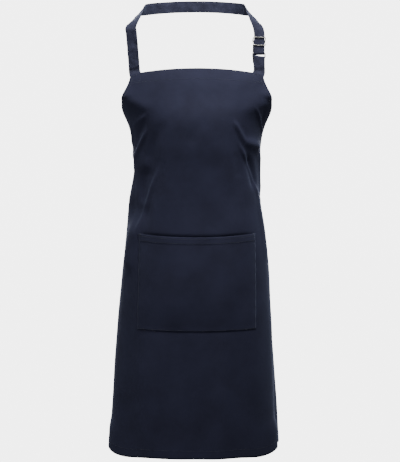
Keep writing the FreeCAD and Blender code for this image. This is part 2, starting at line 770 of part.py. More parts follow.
def make_hem_threads():
    edge = dim("bib_half_width") - 4
    low = dim("apron_length") - HEM_LOW
    row = cloth_solid([(HEM_TOP, -edge, edge), (HEM_TOP + dim("thread_wide"), -edge, edge)],
                      lambda u, v: dim("thread_lift"), dim("thread_high"), 20)
    keep("bib_hem_thread", row)
    rows = [(low, -SKIRT_HALF + 2, SKIRT_HALF - 2),
            (low + dim("thread_wide"), -SKIRT_HALF + 2, SKIRT_HALF - 2)]
    keep("bottom_hem_thread", cloth_solid(rows, lambda u, v: dim("thread_lift"),
                                          dim("thread_high"), 40))
    for side, word in ((-1, "left"), (1, "right")):
        inset = side * (SKIRT_HALF - HEM_SIDE)
        run = line_run((inset, ARMHOLE + dim("tie_width") + 2), (inset, low - 1.5), 16)
        keep(f"{word}_side_thread", thread_solid(run))
        run = []
        for drop in armhole_drops(26)[3:-4]:
            ahead = edge_across(drop + 0.5) - edge_across(drop - 0.5)
            length = math.hypot(ahead, 1)
            across = edge_across(drop) - HEM_ARM / length
            run.append((side * across, drop + HEM_ARM * ahead / length))
        keep(f"{word}_armhole_thread", thread_solid(run))


def pocket_row(drop, inset):
    """A row of stitching straight across the pocket, inset from its sides."""
    half, middle, high = dim("pocket_half_width"), dim("pocket_offset"), dim("thread_high")
    wide = half - inset

    def near(u, v):
        return pocket_face(middle + u * wide, drop) + dim("thread_lift")

    rows = [(drop, middle - wide, middle + wide),
            (drop + dim("thread_wide"), middle - wide, middle + wide)]
    return cloth_solid(rows, near, high, 20)


def make_pocket_threads():
    half, middle, inset = dim("pocket_half_width"), dim("pocket_offset"), 2.5
    top, low = dim("pocket_top"), dim("pocket_bottom")
    sides, tacks = [], []
    for side in (-1, 1):
        edge = middle + side * (half - inset)
        sides.append(thread_solid(line_run((edge, top + 2), (edge, low - inset - 1), 8), pocket_face))
        ends = [(middle + side * (half - 1), top + 0.8), (middle + side * (half - 9), top + 0.8)]
        tacks.append(thread_solid(line_run(*ends, 2), pocket_face))
    keep("pocket_seam_thread", Part.makeCompound(sides + [pocket_row(low - inset, inset + 1)]))
    keep("pocket_hem_thread", Part.makeCompound([pocket_row(top + 5, 6), pocket_row(top + 15, 6)]))
    keep("pocket_bartacks", Part.makeCompound(tacks))


def box_runs(left, right, top, low):
    """A rectangle of stitching with its two diagonals, as separate rows."""
    gap = 1.2
    rows = [((left + gap, top), (right - gap, top)), ((left + gap, low), (right - gap, low)),
            ((left, top + gap), (left, low - gap)), ((right, top + gap), (right, low - gap))]
    return [line_run(a, b, 3) for a, b in rows]


def make_box_threads():
    edge = dim("bib_half_width")
    for side, word in ((-1, "left"), (1, "right")):
        inner, outer = edge - 3 - STRAP_WIDTH + 4, edge - 4
        runs = box_runs(side * inner, side * outer, 4, 20) if side > 0 else \
            box_runs(side * outer, side * inner, 4, 20)
        keep(f"{word}_strap_box_thread", Part.makeCompound([thread_solid(r) for r in runs]))
        inner, outer = SKIRT_HALF - dim("tie_overlap") + 3, SKIRT_HALF - 3
        a, b = sorted((side * inner, side * outer))
        runs = box_runs(a, b, ARMHOLE + 4, ARMHOLE + dim("tie_width") - 3)
        keep(f"{word}_tie_box_thread", Part.makeCompound([thread_solid(r) for r in runs]))


def make_end_thread():
    """The row that closes the strap's end below the slider's middle bar."""
    height = dim("slider_height") - dim("end_tail_depth") + 2.5
    behind = 2 * dim("loop_radius") + STRAP_THICK / 2 + 0.05 + dim("thread_high") / 2
    wide, face = riser_frame(1)
    frames = [(riser_point(1, height, behind, sideways), Vector(0, 0, 1), face)
              for sideways in spread(-STRAP_WIDTH / 2 + 2, STRAP_WIDTH / 2 - 2, 1)]
    keep("strap_end_thread", band_solid(frames, dim("thread_wide"), dim("thread_high")))


def main():
    make_panel()
    make_pocket()
    make_label()
    make_neck_strap()
    make_strap_return()
    make_strap_tab()
    make_sewn_ends()
    make_ring()
    make_slider_frame()
    make_slider_bar()
    make_end_loop()
    make_tie_ends()
    make_knot()
    make_bow_loops()
    make_tie_tails()
    make_hem_threads()
    make_pocket_threads()
    make_box_threads()
    make_end_thread()
    write_parts()


def write_parts():
    """Checks every object and shape, then writes one STEP file a node."""
    doc.recompute()
    failed = [o.Label for o in doc.Objects if "Invalid" in o.State or "Error" in o.State]
    for part in parts:
        if part.Shape.isNull() or not part.Shape.isValid() or part.Shape.Volume <= 0:
            failed.append(part.Label)
    if failed:
        raise RuntimeError(f"these objects failed: {failed}")
    os.makedirs("parts", exist_ok=True)
    for part in parts:
        part.Shape.exportStep(f"parts/{part.Label}.step")
    print(len(parts), "parts written")


main()
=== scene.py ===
import math

import bmesh
import bpy
import numpy as np
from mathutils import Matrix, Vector


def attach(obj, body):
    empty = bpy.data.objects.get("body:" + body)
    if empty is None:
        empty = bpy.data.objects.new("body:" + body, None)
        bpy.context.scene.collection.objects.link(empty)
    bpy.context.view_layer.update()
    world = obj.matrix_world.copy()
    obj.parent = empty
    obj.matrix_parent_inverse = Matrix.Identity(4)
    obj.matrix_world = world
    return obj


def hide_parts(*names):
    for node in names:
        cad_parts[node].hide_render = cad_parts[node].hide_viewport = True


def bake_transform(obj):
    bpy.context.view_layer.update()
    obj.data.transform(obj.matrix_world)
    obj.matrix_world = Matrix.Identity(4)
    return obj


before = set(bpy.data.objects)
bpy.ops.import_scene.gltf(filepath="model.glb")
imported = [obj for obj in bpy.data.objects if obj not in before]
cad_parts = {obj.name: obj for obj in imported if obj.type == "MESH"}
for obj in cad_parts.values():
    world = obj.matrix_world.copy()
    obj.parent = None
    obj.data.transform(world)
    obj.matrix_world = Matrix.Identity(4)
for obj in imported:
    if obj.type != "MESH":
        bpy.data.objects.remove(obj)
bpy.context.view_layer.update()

# A bib apron of navy twill, as it hangs on a wearer. Sizes below are millimetres, and each mesh is
# turned to metres when it is made. A point of cloth is named by where it lies in the flat cut:
# across, from the middle, and drop, below the top edge of the bib.

MM = 0.001

# drop below the bib's top, half width, depth in front of the wearer's axis, depth behind it
LEVELS = np.array([
    (0, 192, 100, 82), (58, 196, 122, 86), (115, 156, 126, 88), (170, 144, 119, 89),
    (225, 141, 111, 90), (300, 150, 113, 104), (440, 165, 125, 120), (640, 179, 139, 125),
    (860, 191, 153, 126)], float)
SECTION_POWER = 2.4
NAPE_HEIGHT, NAPE_BEHIND = 161.0, 75.0
LENGTH, BIB_HALF, SKIRT_HALF = 850.0, 150.0, 360.0
ARMHOLE, ARMHOLE_POWER = 255.0, 1.26
POCKET_TOP, POCKET_LOW, POCKET_HALF, POCKET_MIDDLE = 367.0, 576.0, 136.0, 4.0
CLOTH = 0.8
STRAP_WIDE, STRAP_THICK = 26.2, 1.3

# The studio, in metres and watts: the floor's height, how bright the paper is, how bright the air
# around is, and each light's name, place, size and power. The rear pair only reaches the back.
FLOOR, PAPER_WHITE, AIR_LIGHT = -1.30, 5.0, 0.20
CAMERA_PLACE, CAMERA_LENS, CAMERA_SENSOR = (0.007, -3.355, -0.518), 113.143, 36
LIGHTS_AIM = (0, -0.15, -0.35)
LIGHTS = (("overhead_softbox", (0.25, -0.68, 0.76), (0.55, 0.40), 20.0),
          ("side_softbox", (-2.0, -1.3, 0.6), (0.5, 1.0), 11.0),
          ("rear_softbox_left", (-0.8, 2.6, 0.9), (1.2, 1.2), 60.0),
          ("rear_softbox_right", (0.9, 2.5, 0.4), (1.0, 1.4), 40.0))


# ---------------------------------------------------------------- small helpers

def smoothstep(x, low, high):
    t = np.clip((x - low) / (high - low), 0, 1)
    return t * t * (3 - 2 * t)


def bell(x, middle, wide):
    return np.exp(-((x - middle) / wide) ** 2)


def unit(v):
    """Vectors scaled to length 1."""
    return v / np.linalg.norm(v, axis=-1, keepdims=True)


def waves(a, b, scale_a, scale_b, seed, count=7):
    """A soft random field: a sum of sine waves of random direction and phase, about -1 to 1."""
    rng = np.random.default_rng(seed)
    total = np.zeros(np.broadcast(a, b).shape)
    for _ in range(count):
        fa, fb = rng.normal(0, 1, 2)
        total += np.sin(fa * a / scale_a * 2.2 + fb * b / scale_b * 2.2 + rng.uniform(0, 6.283))
    return total / math.sqrt(count)


def level_value(at, column):
    """Cubic Hermite curve through the levels, with central differences as its slopes."""
    x, y = LEVELS[:, 0], LEVELS[:, column]
    near = np.arange(len(x))
    before, after = np.maximum(near - 1, 0), np.minimum(near + 1, len(x) - 1)
    slope = (y[after] - y[before]) / (x[after] - x[before])
    at = np.clip(at, x[0], x[-1])
    k = np.clip(np.searchsorted(x, at) - 1, 0, len(x) - 2)
    span = x[k + 1] - x[k]
    t = (at - x[k]) / span
    return (y[k] * (2 * t ** 3 - 3 * t ** 2 + 1) + y[k + 1] * (3 * t ** 2 - 2 * t ** 3)
            + span * (slope[k] * (t ** 3 - 2 * t ** 2 + t) + slope[k + 1] * (t ** 3 - t ** 2)))


# ---------------------------------------------------------------- the cloth on the wearer

TABLE_STEP = 4.0
WAIST_LIFT, HEM_LIFT, CORNER_SAG = 40.0, 22.0, 12.0


def wearer_table():
    """Outline of the wearer at each height, by distance round it from the middle of the front:
    x, y, and the way outwards. The outline is a superellipse with its own depth front and back."""
    drops = np.arange(0, 865, TABLE_STEP)[:, None]
    turn = np.linspace(0, np.pi, 1441)[None, :]
    power = 2 / SECTION_POWER
    deep = np.where(turn <= np.pi / 2, level_value(drops, 2), level_value(drops, 3))
    x = level_value(drops, 1) * np.sin(turn).clip(0) ** power
    y = -deep * np.sign(np.cos(turn)) * np.abs(np.cos(turn)) ** power
    steps = np.hypot(np.diff(x, axis=1), np.diff(y, axis=1))
    run = np.concatenate([np.zeros((len(drops), 1)), np.cumsum(steps, axis=1)], axis=1)
    round_it = np.arange(0, 401.0, 1.0)
    x = np.array([np.interp(round_it, r, row) for r, row in zip(run, x)])
    y = np.array([np.interp(round_it, r, row) for r, row in zip(run, y)])
    out = unit(np.stack([np.gradient(y, axis=1), -np.gradient(x, axis=1)], axis=-1))
    return np.concatenate([x[..., None], y[..., None], out], axis=-1)


WEARER = wearer_table()


def on_wearer(down, across):
    """Bilinear look-up in the wearer's table."""
    a = np.clip(down / TABLE_STEP, 0, WEARER.shape[0] - 1.001)
    b = np.clip(np.abs(across), 0, WEARER.shape[1] - 1.001)
    i, j = a.astype(int), b.astype(int)
    s, t = (a - i)[..., None], (b - j)[..., None]
    return ((WEARER[i, j] * (1 - t) + WEARER[i, j + 1] * t) * (1 - s)
            + (WEARER[i + 1, j] * (1 - t) + WEARER[i + 1, j + 1] * t) * s)


def edge_across(drop):
    """Half width of the flat cut: the bib, the armhole's curve, then the skirt."""
    share = 1 - (1 - (np.clip(drop, 0, ARMHOLE) / ARMHOLE) ** ARMHOLE_POWER) ** (1 / ARMHOLE_POWER)
    return BIB_HALF + (SKIRT_HALF - BIB_HALF) * share


def height_of(across, drop):
    """Height over the bib's top: minus the drop, plus a lift that grows with the square of the
    distance across, because the ties pull up the skirt's sides. The bib's corners sag by the same
    square. Near the hem two bells round its corner where it goes round the hips."""
    low = np.clip((drop - ARMHOLE) / (LENGTH - ARMHOLE), 0, 1)
    lift = np.where(drop <= ARMHOLE, WAIST_LIFT * drop / ARMHOLE,
                    WAIST_LIFT * (1 - low) + HEM_LIFT * low)
    sag = CORNER_SAG * (across / BIB_HALF) ** 2 * np.clip(1 - drop / ARMHOLE, 0, 1) ** 2
    round_side = 7 * bell(np.abs(across), 228, 30) - 4.5 * bell(np.abs(across), 160, 40)
    return (lift * (across / SKIRT_HALF) ** 2 - sag - drop
            + round_side * smoothstep(drop, 740, LENGTH))


def ridge(across, drop, start, end, wide_start, wide_end, high):
    """A fold along a straight line in the flat cut: a bell across it, swelling and fading along it."""
    (a0, d0), (a1, d1) = start, end
    long = math.hypot(a1 - a0, d1 - d0)
    along = ((across - a0) * (a1 - a0) + (drop - d0) * (d1 - d0)) / long ** 2
    off = ((across - a0) * (d1 - d0) - (drop - d0) * (a1 - a0)) / long
    wide = wide_start + (wide_end - wide_start) * np.clip(along, 0, 1)
    fade = smoothstep(along, -0.15, 0.2) * (1 - smoothstep(along, 0.8, 1.15))
    return high * np.exp(-(off / wide) ** 2) * fade


# Folds in the flat cut: start, end, widths at both, height off the cloth. A negative one is a
# hollow between folds.
LEFT_FOLDS = [
    # the pull across the bust from the armhole, and the slack above it
    ((-172, 58), (-108, 88), 10, 12, 1.8),
    ((-165, 92), (-112, 102), 10, 7, -2.2),
    ((-112, 100), (-166, 130), 5, 7, 2.6),
    ((-118, 118), (-148, 150), 7, 9, -2.6),
    ((-176, 118), (-182, 172), 10, 10, 3.5),
    # the drag fold down the side, with a hollow beside it
    ((-117, 140), (-160, 204), 4, 9, 3.6),
    ((-76, 122), (-112, 206), 12, 15, -2.4),
    ((-118, 225), (-124, 296), 14, 16, -5.0),
    ((-178, 222), (-205, 232), 14, 18, -4.5),
    ((-108, 212), (-178, 204), 34, 34, 4.5),
    # the fold from the waist to the pocket, and the cloth over the hip
    ((-86, 232), (-144, 380), 4.5, 9, 4.0),
    ((-104, 320), (-188, 316), 22, 24, -5.0),
    ((-98, 308), (-174, 300), 46, 46, -4.5),
    ((-152, 350), (-172, 450), 20, 22, 8.0),
    # the flute at the hem
    ((-215, 790), (-222, 900), 38, 38, 4.0),
]
RIGHT_FOLDS = [
    # the pull across the bust from the armhole
    ((105, 96), (172, 68), 13, 11, 1.5),
    ((160, 84), (178, 122), 8, 8, -2.6),
    ((136, 88), (184, 138), 3.5, 4, 2.6),
    # the two folds that meet at the side, with a deep hollow under them
    ((84, 120), (110, 162), 5, 7, 3.4),
    ((110, 164), (168, 174), 9, 13, 5.4),
    ((120, 196), (152, 266), 10, 13, -6.8),
    ((88, 190), (98, 240), 10, 12, -1.2),
    # the long drag fold from the waist to the hip
    ((98, 172), (170, 290), 4, 5, 3.2),
    ((170, 290), (190, 430), 8, 18, 3.2),
    ((178, 185), (202, 285), 12, 14, 4.5),
    # the flute at the hem
    ((215, 790), (222, 900), 38, 38, 7.0),
]
MIDDLE_FOLDS = [((20, 114), (-16, 166), 12, 18, -1.3)]
# given for the right side: the bib's full edge, and the pull of the waist tie above and below
PAIRED_FOLDS = [
    ((176, 20), (168, 60), 16, 16, 4.5),
    ((205, 190), (330, 262), 9, 12, 4.0),
    ((220, 300), (345, 268), 10, 9, 3.5),
]
FOLDS = LEFT_FOLDS + RIGHT_FOLDS + MIDDLE_FOLDS + [
    ((side * a0, d0), (side * a1, d1), wide0, wide1, high)
    for (a0, d0), (a1, d1), wide0, wide1, high in PAIRED_FOLDS for side in (-1, 1)]


def bust_hollow(across, drop):
    """The cloth is pulled straight from the straps to the bust, so above it it lies hollow: a bell
    down the drop, which moves up, narrows and flattens as edge goes from 0 in the middle to 1 at
    the armholes. Below the bust it falls straight, off the wearer: a second, wide bell."""
    edge = smoothstep(np.abs(across), 85, 175)
    hollow = -8.0 * (1 - 0.7 * edge) * bell(drop, 60 - 30 * edge, 38 - 12 * edge)
    return hollow + 6.5 * bell(drop, 215, 75) * (1 - smoothstep(np.abs(across), 60, 105))


def folds(across, drop):
    """How far the cloth stands off its plain shape: the sum of the folds, the hollow over the
    bust, soft flutes that deepen towards the hem, sine waves in the skirt's back edges, and a
    slight unevenness everywhere."""
    out = sum(ridge(across, drop, *fold) for fold in FOLDS)
    out = out + bust_hollow(across, drop)
    flute = waves(across, drop, 95, 700, 3)
    out = out + flute * (0.5 + 2.6 * smoothstep(drop, 420, 850)) * smoothstep(drop, 120, 330)
    back = smoothstep(np.abs(across), 190, 330) * smoothstep(drop, 300, 800)
    out = out + 6 * back * np.sin(across / 21 + 0.8 * np.sin(drop / 160))
    return out + 0.35 * waves(across, drop, 38, 60, 5, 9)


def sway(drop):
    """How far the whole cloth leans sideways: with the square of the drop, and a bell at the hips."""
    return -9 * (drop / LENGTH) ** 2 - 4.0 * bell(drop, 300, 55)


def cloth(across, drop, out=0.0, still=False):
    """Place of a point of the apron's outer face, moved out by a distance. still leaves out the
    folds, for what must stay where the strap and the ties hold it."""
    across, drop = np.broadcast_arrays(np.asarray(across, float), np.asarray(drop, float))
    height = height_of(across, drop)
    found = on_wearer(-height, across)
    side = np.where(across < 0, -1.0, 1.0)
    off = out if still else out + folds(across, drop) * held(across, drop)
    x = side * (found[..., 0] + found[..., 2] * off) + sway(drop)
    return np.stack([x, found[..., 1] + found[..., 3] * off - NAPE_BEHIND, height - NAPE_HEIGHT], -1)


def held(across, drop):
    """Zero where the straps and ties hold the cloth still, one elsewhere."""
    corner = bell(np.abs(across), 138, 22) * bell(drop, 0, 26)
    tie = bell(np.abs(across), 350, 24) * bell(drop, 268, 26)
    return 1 - np.clip(corner + tie, 0, 1)


def outwards(across, drop, out=0.0):
    """Unit normal of the cloth, from the cross product of its two directions."""
    a = cloth(across + 1.0, drop, out) - cloth(across - 1.0, drop, out)
    d = cloth(across, drop + 1.0, out) - cloth(across, drop - 1.0, out)
    return unit(np.cross(d, a))


# ---------------------------------------------------------------- meshes

def grid_faces(rows, columns, start=0, flip=False):
    """Quads of a grid whose vertices are numbered row by row."""
    k = start + np.arange((rows - 1) * columns).reshape(rows - 1, columns)[:, :-1].ravel()
    quads = np.stack([k, k + columns, k + columns + 1, k + 1], -1)
    return quads[:, ::-1] if flip else quads


def ring_faces(lower, upper):
    """Quads between two rings of vertex numbers."""
    return np.stack([lower, np.roll(lower, -1), np.roll(upper, -1), upper], -1)


def leaf(front, back, flat):
    """Closed mesh of a cloth from its front and back grids, with a rim round them. flat is the
    grid of places in the cut, which becomes the UV map."""
    rows, columns = front.shape[:2]
    count = rows * columns
    index = np.arange(count).reshape(rows, columns)
    rim = np.concatenate([index[0, :-1], index[:-1, -1], index[-1, :0:-1], index[:0:-1, 0]])
    quads = np.concatenate([grid_faces(rows, columns), grid_faces(rows, columns, count, True),
                            ring_faces(rim, rim + count)])
    verts = np.concatenate([front.reshape(-1, 3), back.reshape(-1, 3)])
    return verts, quads, np.concatenate([flat.reshape(-1, 2)] * 2)


def make(name, pieces, materials, body=None, stands_for=()):
    """One object from (vertices in mm, quads, UVs) pieces, one material each."""
    verts, quads, uvs, marks, start = [], [], [], [], 0
    for k, (v, q, uv) in enumerate(pieces):
        verts.append(v)
        quads.append(q + start)
        uvs.append(uv)
        marks.append(np.full(len(q), k))
        start += len(v)
    verts, quads = np.concatenate(verts) * MM, np.concatenate(quads)
    uvs, marks = np.concatenate(uvs) * MM, np.concatenate(marks)
    mesh = bpy.data.meshes.new(name)
    mesh.from_pydata(verts.tolist(), [], quads.tolist())
    layer = mesh.uv_layers.new(name="cut")
    loops = np.empty(len(mesh.loops), np.int32)
    mesh.loops.foreach_get("vertex_index", loops)
    layer.data.foreach_set("uv", uvs[loops].ravel())
    for material in materials:
        mesh.materials.append(material)
    mesh.polygons.foreach_set("material_index", marks.astype(np.int32))
    mesh.polygons.foreach_set("use_smooth", np.ones(len(mesh.polygons), bool))
    mesh.update()
    obj = bpy.data.objects.new(name, mesh)
    bpy.context.collection.objects.link(obj)
    if body:
        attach(obj, body)
    if stands_for:
        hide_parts(*stands_for)
    return obj


def stitches(points, normals, pitch=3.2, long=2.5, thick=0.34):
    """A row of stitches along a line: each is a short capsule whose height falls with the fourth
    power of the distance from its middle, so that it dips into the cloth at its ends. Five stations
    along it carry a five-sided ring, and the rings shrink towards the ends."""
    run = np.concatenate([[0], np.cumsum(np.linalg.norm(np.diff(points, axis=0), axis=1))])
    count = max(int(run[-1] // pitch), 1)
    at = (np.arange(count) + 0.5) * run[-1] / count

    def on_line(values, where):
        return np.stack([np.interp(where, run, values[:, k]) for k in range(3)], -1)

    middle, up = on_line(points, at), unit(on_line(normals, at))
    ahead = unit(on_line(points, at + 0.8) - on_line(points, at - 0.8))
    aside = unit(np.cross(up, ahead))
    up = np.cross(ahead, aside)
    s = np.array([-1, -0.72, 0, 0.72, 1])
    grow = np.array([0.12, 0.8, 1, 0.8, 0.12])
    turn = np.arange(5) * 2 * np.pi / 5
    along = (s * long / 2)[:, None] * np.ones(5)
    wide = grow[:, None] * np.cos(turn) * thick
    high = grow[:, None] * np.sin(turn) * thick * 0.8 + (0.16 - 0.34 * s ** 4)[:, None]
    verts = (middle[:, None, None] + along[None, ..., None] * ahead[:, None, None]
             + wide[None, ..., None] * aside[:, None, None] + high[None, ..., None] * up[:, None, None])
    ring = np.arange(5)
    one = np.concatenate([ring_faces(ring + 5 * k, ring + 5 * k + 5) for k in range(4)])
    caps = np.array([[3, 2, 1, 0], [23, 24, 20, 21]])
    one = np.concatenate([one, caps])
    quads = (one[None] + (np.arange(count) * 25)[:, None, None]).reshape(-1, 4)
    uv = np.stack([np.repeat(at, 25), np.tile(turn, 5 * count)], -1)
    return verts.reshape(-1, 3), quads, uv


def cloth_line(ends, count=None):
    """Dense line of (across, drop) through the given places."""
    ends = np.asarray(ends, float)
    run = np.concatenate([[0], np.cumsum(np.hypot(*np.diff(ends, axis=0).T))])
    at = np.linspace(0, run[-1], count or max(int(run[-1] / 2.5), 2))
    return np.stack([np.interp(at, run, ends[:, k]) for k in (0, 1)], -1)


def stitch_cloth(ends, out=0.0, **size):
    """Stitches on the apron's face along a line in the flat cut. out is a number or a function."""
    line = cloth_line(ends)
    off = out(line[:, 0], line[:, 1]) if callable(out) else out
    return stitches(cloth(line[:, 0], line[:, 1], off), outwards(line[:, 0], line[:, 1], off), **size)


def join(parts):
    """Several (vertices, quads, UVs) as one."""
    starts = np.cumsum([0] + [len(p[0]) for p in parts[:-1]])
    return (np.concatenate([p[0] for p in parts]),
            np.concatenate([p[1] + s for p, s in zip(parts, starts)]),
            np.concatenate([p[2] for p in parts]))


def curve(points, steps):
    """Catmull-Rom curve through points: places and rates of change, steps to each span."""
    points = np.asarray(points, float)
    last = len(points) - 1
    at = np.linspace(0, last, last * steps + 1)
    k = np.minimum(at.astype(int), last - 1)
    t = (at - k)[:, None]
    p0, p1 = points[np.maximum(k - 1, 0)], points[k]
    p2, p3 = points[k + 1], points[np.minimum(k + 2, last)]
    m1, m2 = (p2 - p0) / 2, (p3 - p1) / 2
    place = (p1 * (2 * t ** 3 - 3 * t ** 2 + 1) + m1 * (t ** 3 - 2 * t ** 2 + t)
             + p2 * (3 * t ** 2 - 2 * t ** 3) + m2 * (t ** 3 - t ** 2))
    rate = (p1 * (6 * t ** 2 - 6 * t) + m1 * (3 * t ** 2 - 4 * t + 1)
            + p2 * (6 * t - 6 * t ** 2) + m2 * (3 * t ** 2 - 2 * t))
    return place, rate


def frames_along(middles, hints, steps):
    """Middle, width direction and face direction along a band."""
    place, rate = curve(middles, steps)
    hint, _ = curve(hints, steps)
    way = unit(rate)
    wide = unit(hint - way * np.sum(hint * way, -1, keepdims=True))
    return place, wide, np.cross(wide, way)


# A stitched band's cross-section, from edge to edge: share of the half width, share of the half
# thickness. The folded edges are full, and the rows of stitching draw the cloth in a little.
BAND_ACROSS = np.array([-1, -0.985, -0.95, -0.89, -0.83, -0.77, -0.6, -0.3, 0,
                        0.3, 0.6, 0.77, 0.83, 0.89, 0.95, 0.985, 1])
BAND_HIGH = np.array([0.25, 0.8, 1.08, 1.05, 0.74, 0.98, 0.95, 0.93, 0.92,
                      0.93, 0.95, 0.98, 0.74, 1.05, 1.08, 0.8, 0.25])


def band(middle, wide, face, width, thick, ripple=0.0, pleat=0.0, seed=1, creases=(), askew=0.0):
    """Closed mesh of a flat stitched strap: the cross-section carried along frames. width, ripple,
    pleat and askew may change along it. ripple is a soft unevenness in mm, pleat folds the strap
    lengthwise as a cosine, and askew lowers one edge, in mm to each mm across. A crease is a bell
    along the strap: (distance along, slope across, width, height)."""
    count = len(middle)
    run = np.concatenate([[0], np.cumsum(np.linalg.norm(np.diff(middle, axis=0), axis=1))])
    width = np.broadcast_to(np.asarray(width, float), (count,))
    pleat = np.broadcast_to(np.asarray(pleat, float), (count,))
    a = BAND_ACROSS[None, :] * width[:, None] / 2
    ripple = np.broadcast_to(np.asarray(ripple, float), (count,))
    bend = ripple[:, None] * waves(run[:, None], a, 15, 17, seed)
    bend = bend + pleat[:, None] * np.cos(3 * np.pi * BAND_ACROSS)
    for at, slope, broad, high in creases:
        bend = bend + high * bell(run[:, None] - slope * a, at, broad)
    half = BAND_HIGH[None, :] * thick / 2
    down = np.stack([0 * a, 0 * a, -np.broadcast_to(askew, (count,))[:, None] * a], -1)
    flat_place = middle[:, None] + a[..., None] * wide[:, None] + down
    front = flat_place + (bend + half)[..., None] * face[:, None]
    back = flat_place + (bend - half)[..., None] * face[:, None]
    flat = np.stack([np.broadcast_to(a, (count, len(BAND_ACROSS))),
                     np.broadcast_to(run[:, None], (count, len(BAND_ACROSS)))], -1)
    mesh = leaf(front, back, flat)
    if np.dot(np.cross(front[1, 8] - front[0, 8], front[0, 9] - front[0, 8]), face[0]) < 0:
        mesh = (mesh[0], mesh[1][:, ::-1], mesh[2])
    return mesh


def band_stitches(middle, wide, face, width, thick, both=True, trim=2, **size):
    """Rows of stitching along both edges of a strap."""
    width = np.broadcast_to(np.asarray(width, float), (len(middle),))[:, None]
    rows = []
    for side in (-1, 1):
        for up in ((1, -1) if both else (1,)):
            line = middle + wide * side * 0.83 * width / 2 + face * up * (thick * 0.25)
            rows.append(stitches(line[trim:-trim], (face * up)[trim:-trim], **size))
    return join(rows)


# ---------------------------------------------------------------- materials

# A wave texture of scale 1 repeats after this many metres, a diagonal one after twice as many.
WAVE_REPEAT = 0.314


def linear(code):
    """An sRGB hex colour as linear RGBA."""
    c = np.array([int(code[k:k + 2], 16) for k in (1, 3, 5)]) / 255
    return (*np.where(c <= 0.04045, c / 12.92, ((c + 0.055) / 1.055) ** 2.4), 1.0)


def node(tree, kind, links=(), **settings):
    """Adds a node with its settings, and links (input name or number, source socket) into it.
    A setting named by a socket sets that socket's value."""
    made = tree.nodes.new(kind)
    for name, value in settings.items():
        if hasattr(made, name):
            setattr(made, name, value)
        else:
            made.inputs[name.replace("_", " ")].default_value = value
    for name, source in links:
        tree.links.new(source, made.inputs[name])
    return made


def blank(name):
    """A new material and its empty node tree."""
    material = bpy.data.materials.new(name)
    material.use_nodes = True
    tree = material.node_tree
    tree.nodes.clear()
    return material, tree


def finish_material(tree, shader):
    """Joins the shader to the material's output."""
    output = tree.nodes.new("ShaderNodeOutputMaterial")
    tree.links.new(shader.outputs[0], output.inputs["Surface"])


def twill(name, dark, light, crush_high=0.4, patch=62.5, contrast=(0.35, 1.0)):
    """Polyester and cotton twill, piece dyed navy. The weave gives diagonal ribs, the matt finish
    and short nap give a broad soft sheen, and handling leaves crush marks. Sizes are millimetres.
    Real ribs are about 0.7 mm apart. They are drawn at 1.3 mm, so that they show at all."""
    rib, rib_high, slub, crush_mark = 1.3, 0.12, 1.1111, 18.182
    material, tree = blank(name)
    place = node(tree, "ShaderNodeUVMap", uv_map="cut")
    turned = node(tree, "ShaderNodeMapping", [("Vector", place.outputs[0])],
                  Rotation=(0, 0, math.radians(63)))
    ribs = node(tree, "ShaderNodeTexWave", [("Vector", turned.outputs[0])], wave_type="BANDS",
                bands_direction="X", wave_profile="SIN", Scale=WAVE_REPEAT / (rib * MM),
                Distortion=0.6, Detail=1.0)
    yarn = node(tree, "ShaderNodeTexNoise", [("Vector", place.outputs[0])], Scale=1 / (slub * MM),
                Detail=2.0)
    dye = node(tree, "ShaderNodeTexNoise", [("Vector", place.outputs[0])], Scale=1 / (patch * MM),
               Detail=3.0)
    weave = node(tree, "ShaderNodeMath", [(0, ribs.outputs[1]), (1, yarn.outputs[0])],
                 operation="MULTIPLY")
    tone = node(tree, "ShaderNodeMath", [(0, weave.outputs[0]), (1, dye.outputs[0])],
                operation="ADD")
    colour = node(tree, "ShaderNodeValToRGB", [("Fac", tone.outputs[0])])
    for stop, place_on_ramp, code in zip(colour.color_ramp.elements, contrast, (dark, light)):
        stop.position = place_on_ramp
        stop.color = linear(code)
    crush = node(tree, "ShaderNodeTexNoise", [("Vector", place.outputs[0])],
                 Scale=1 / (crush_mark * MM), Detail=3.0, Roughness=0.55)
    soft = node(tree, "ShaderNodeBump", [("Height", crush.outputs[0])], Strength=1.0,
                Distance=crush_high * MM)
    fine = node(tree, "ShaderNodeBump", [("Height", weave.outputs[0]), ("Normal", soft.outputs[0])],
                Strength=1.0, Distance=rib_high * MM)
    shader = node(tree, "ShaderNodeBsdfPrincipled",
                  [("Base Color", colour.outputs[0]), ("Normal", fine.outputs[0])], Roughness=0.82,
                  Specular_IOR_Level=0.28, Sheen_Weight=0.3, Sheen_Roughness=0.45,
                  Sheen_Tint=linear("#9aa6cc"))
    finish_material(tree, shader)
    return material


def sewing_thread():
    """Spun polyester thread: a slight gloss, and two plies seen as fine slanted lines 0.5 mm apart."""
    material, tree = blank("spun_polyester_thread")
    place = node(tree, "ShaderNodeUVMap", uv_map="cut")
    ply = node(tree, "ShaderNodeTexWave", [("Vector", place.outputs[0])], wave_type="BANDS",
               bands_direction="DIAGONAL", Scale=2 * WAVE_REPEAT / (0.5 * MM))
    colour = node(tree, "ShaderNodeValToRGB", [("Fac", ply.outputs[1])])
    colour.color_ramp.elements[0].color = linear("#262b3c")
    colour.color_ramp.elements[1].color = linear("#353b50")
    bump = node(tree, "ShaderNodeBump", [("Height", ply.outputs[1])], Strength=0.6, Distance=0.0001)
    shader = node(tree, "ShaderNodeBsdfPrincipled", [("Base Color", colour.outputs[0]),
                                                     ("Normal", bump.outputs[0])],
                  Roughness=0.55, Sheen_Weight=0.2)
    finish_material(tree, shader)
    return material


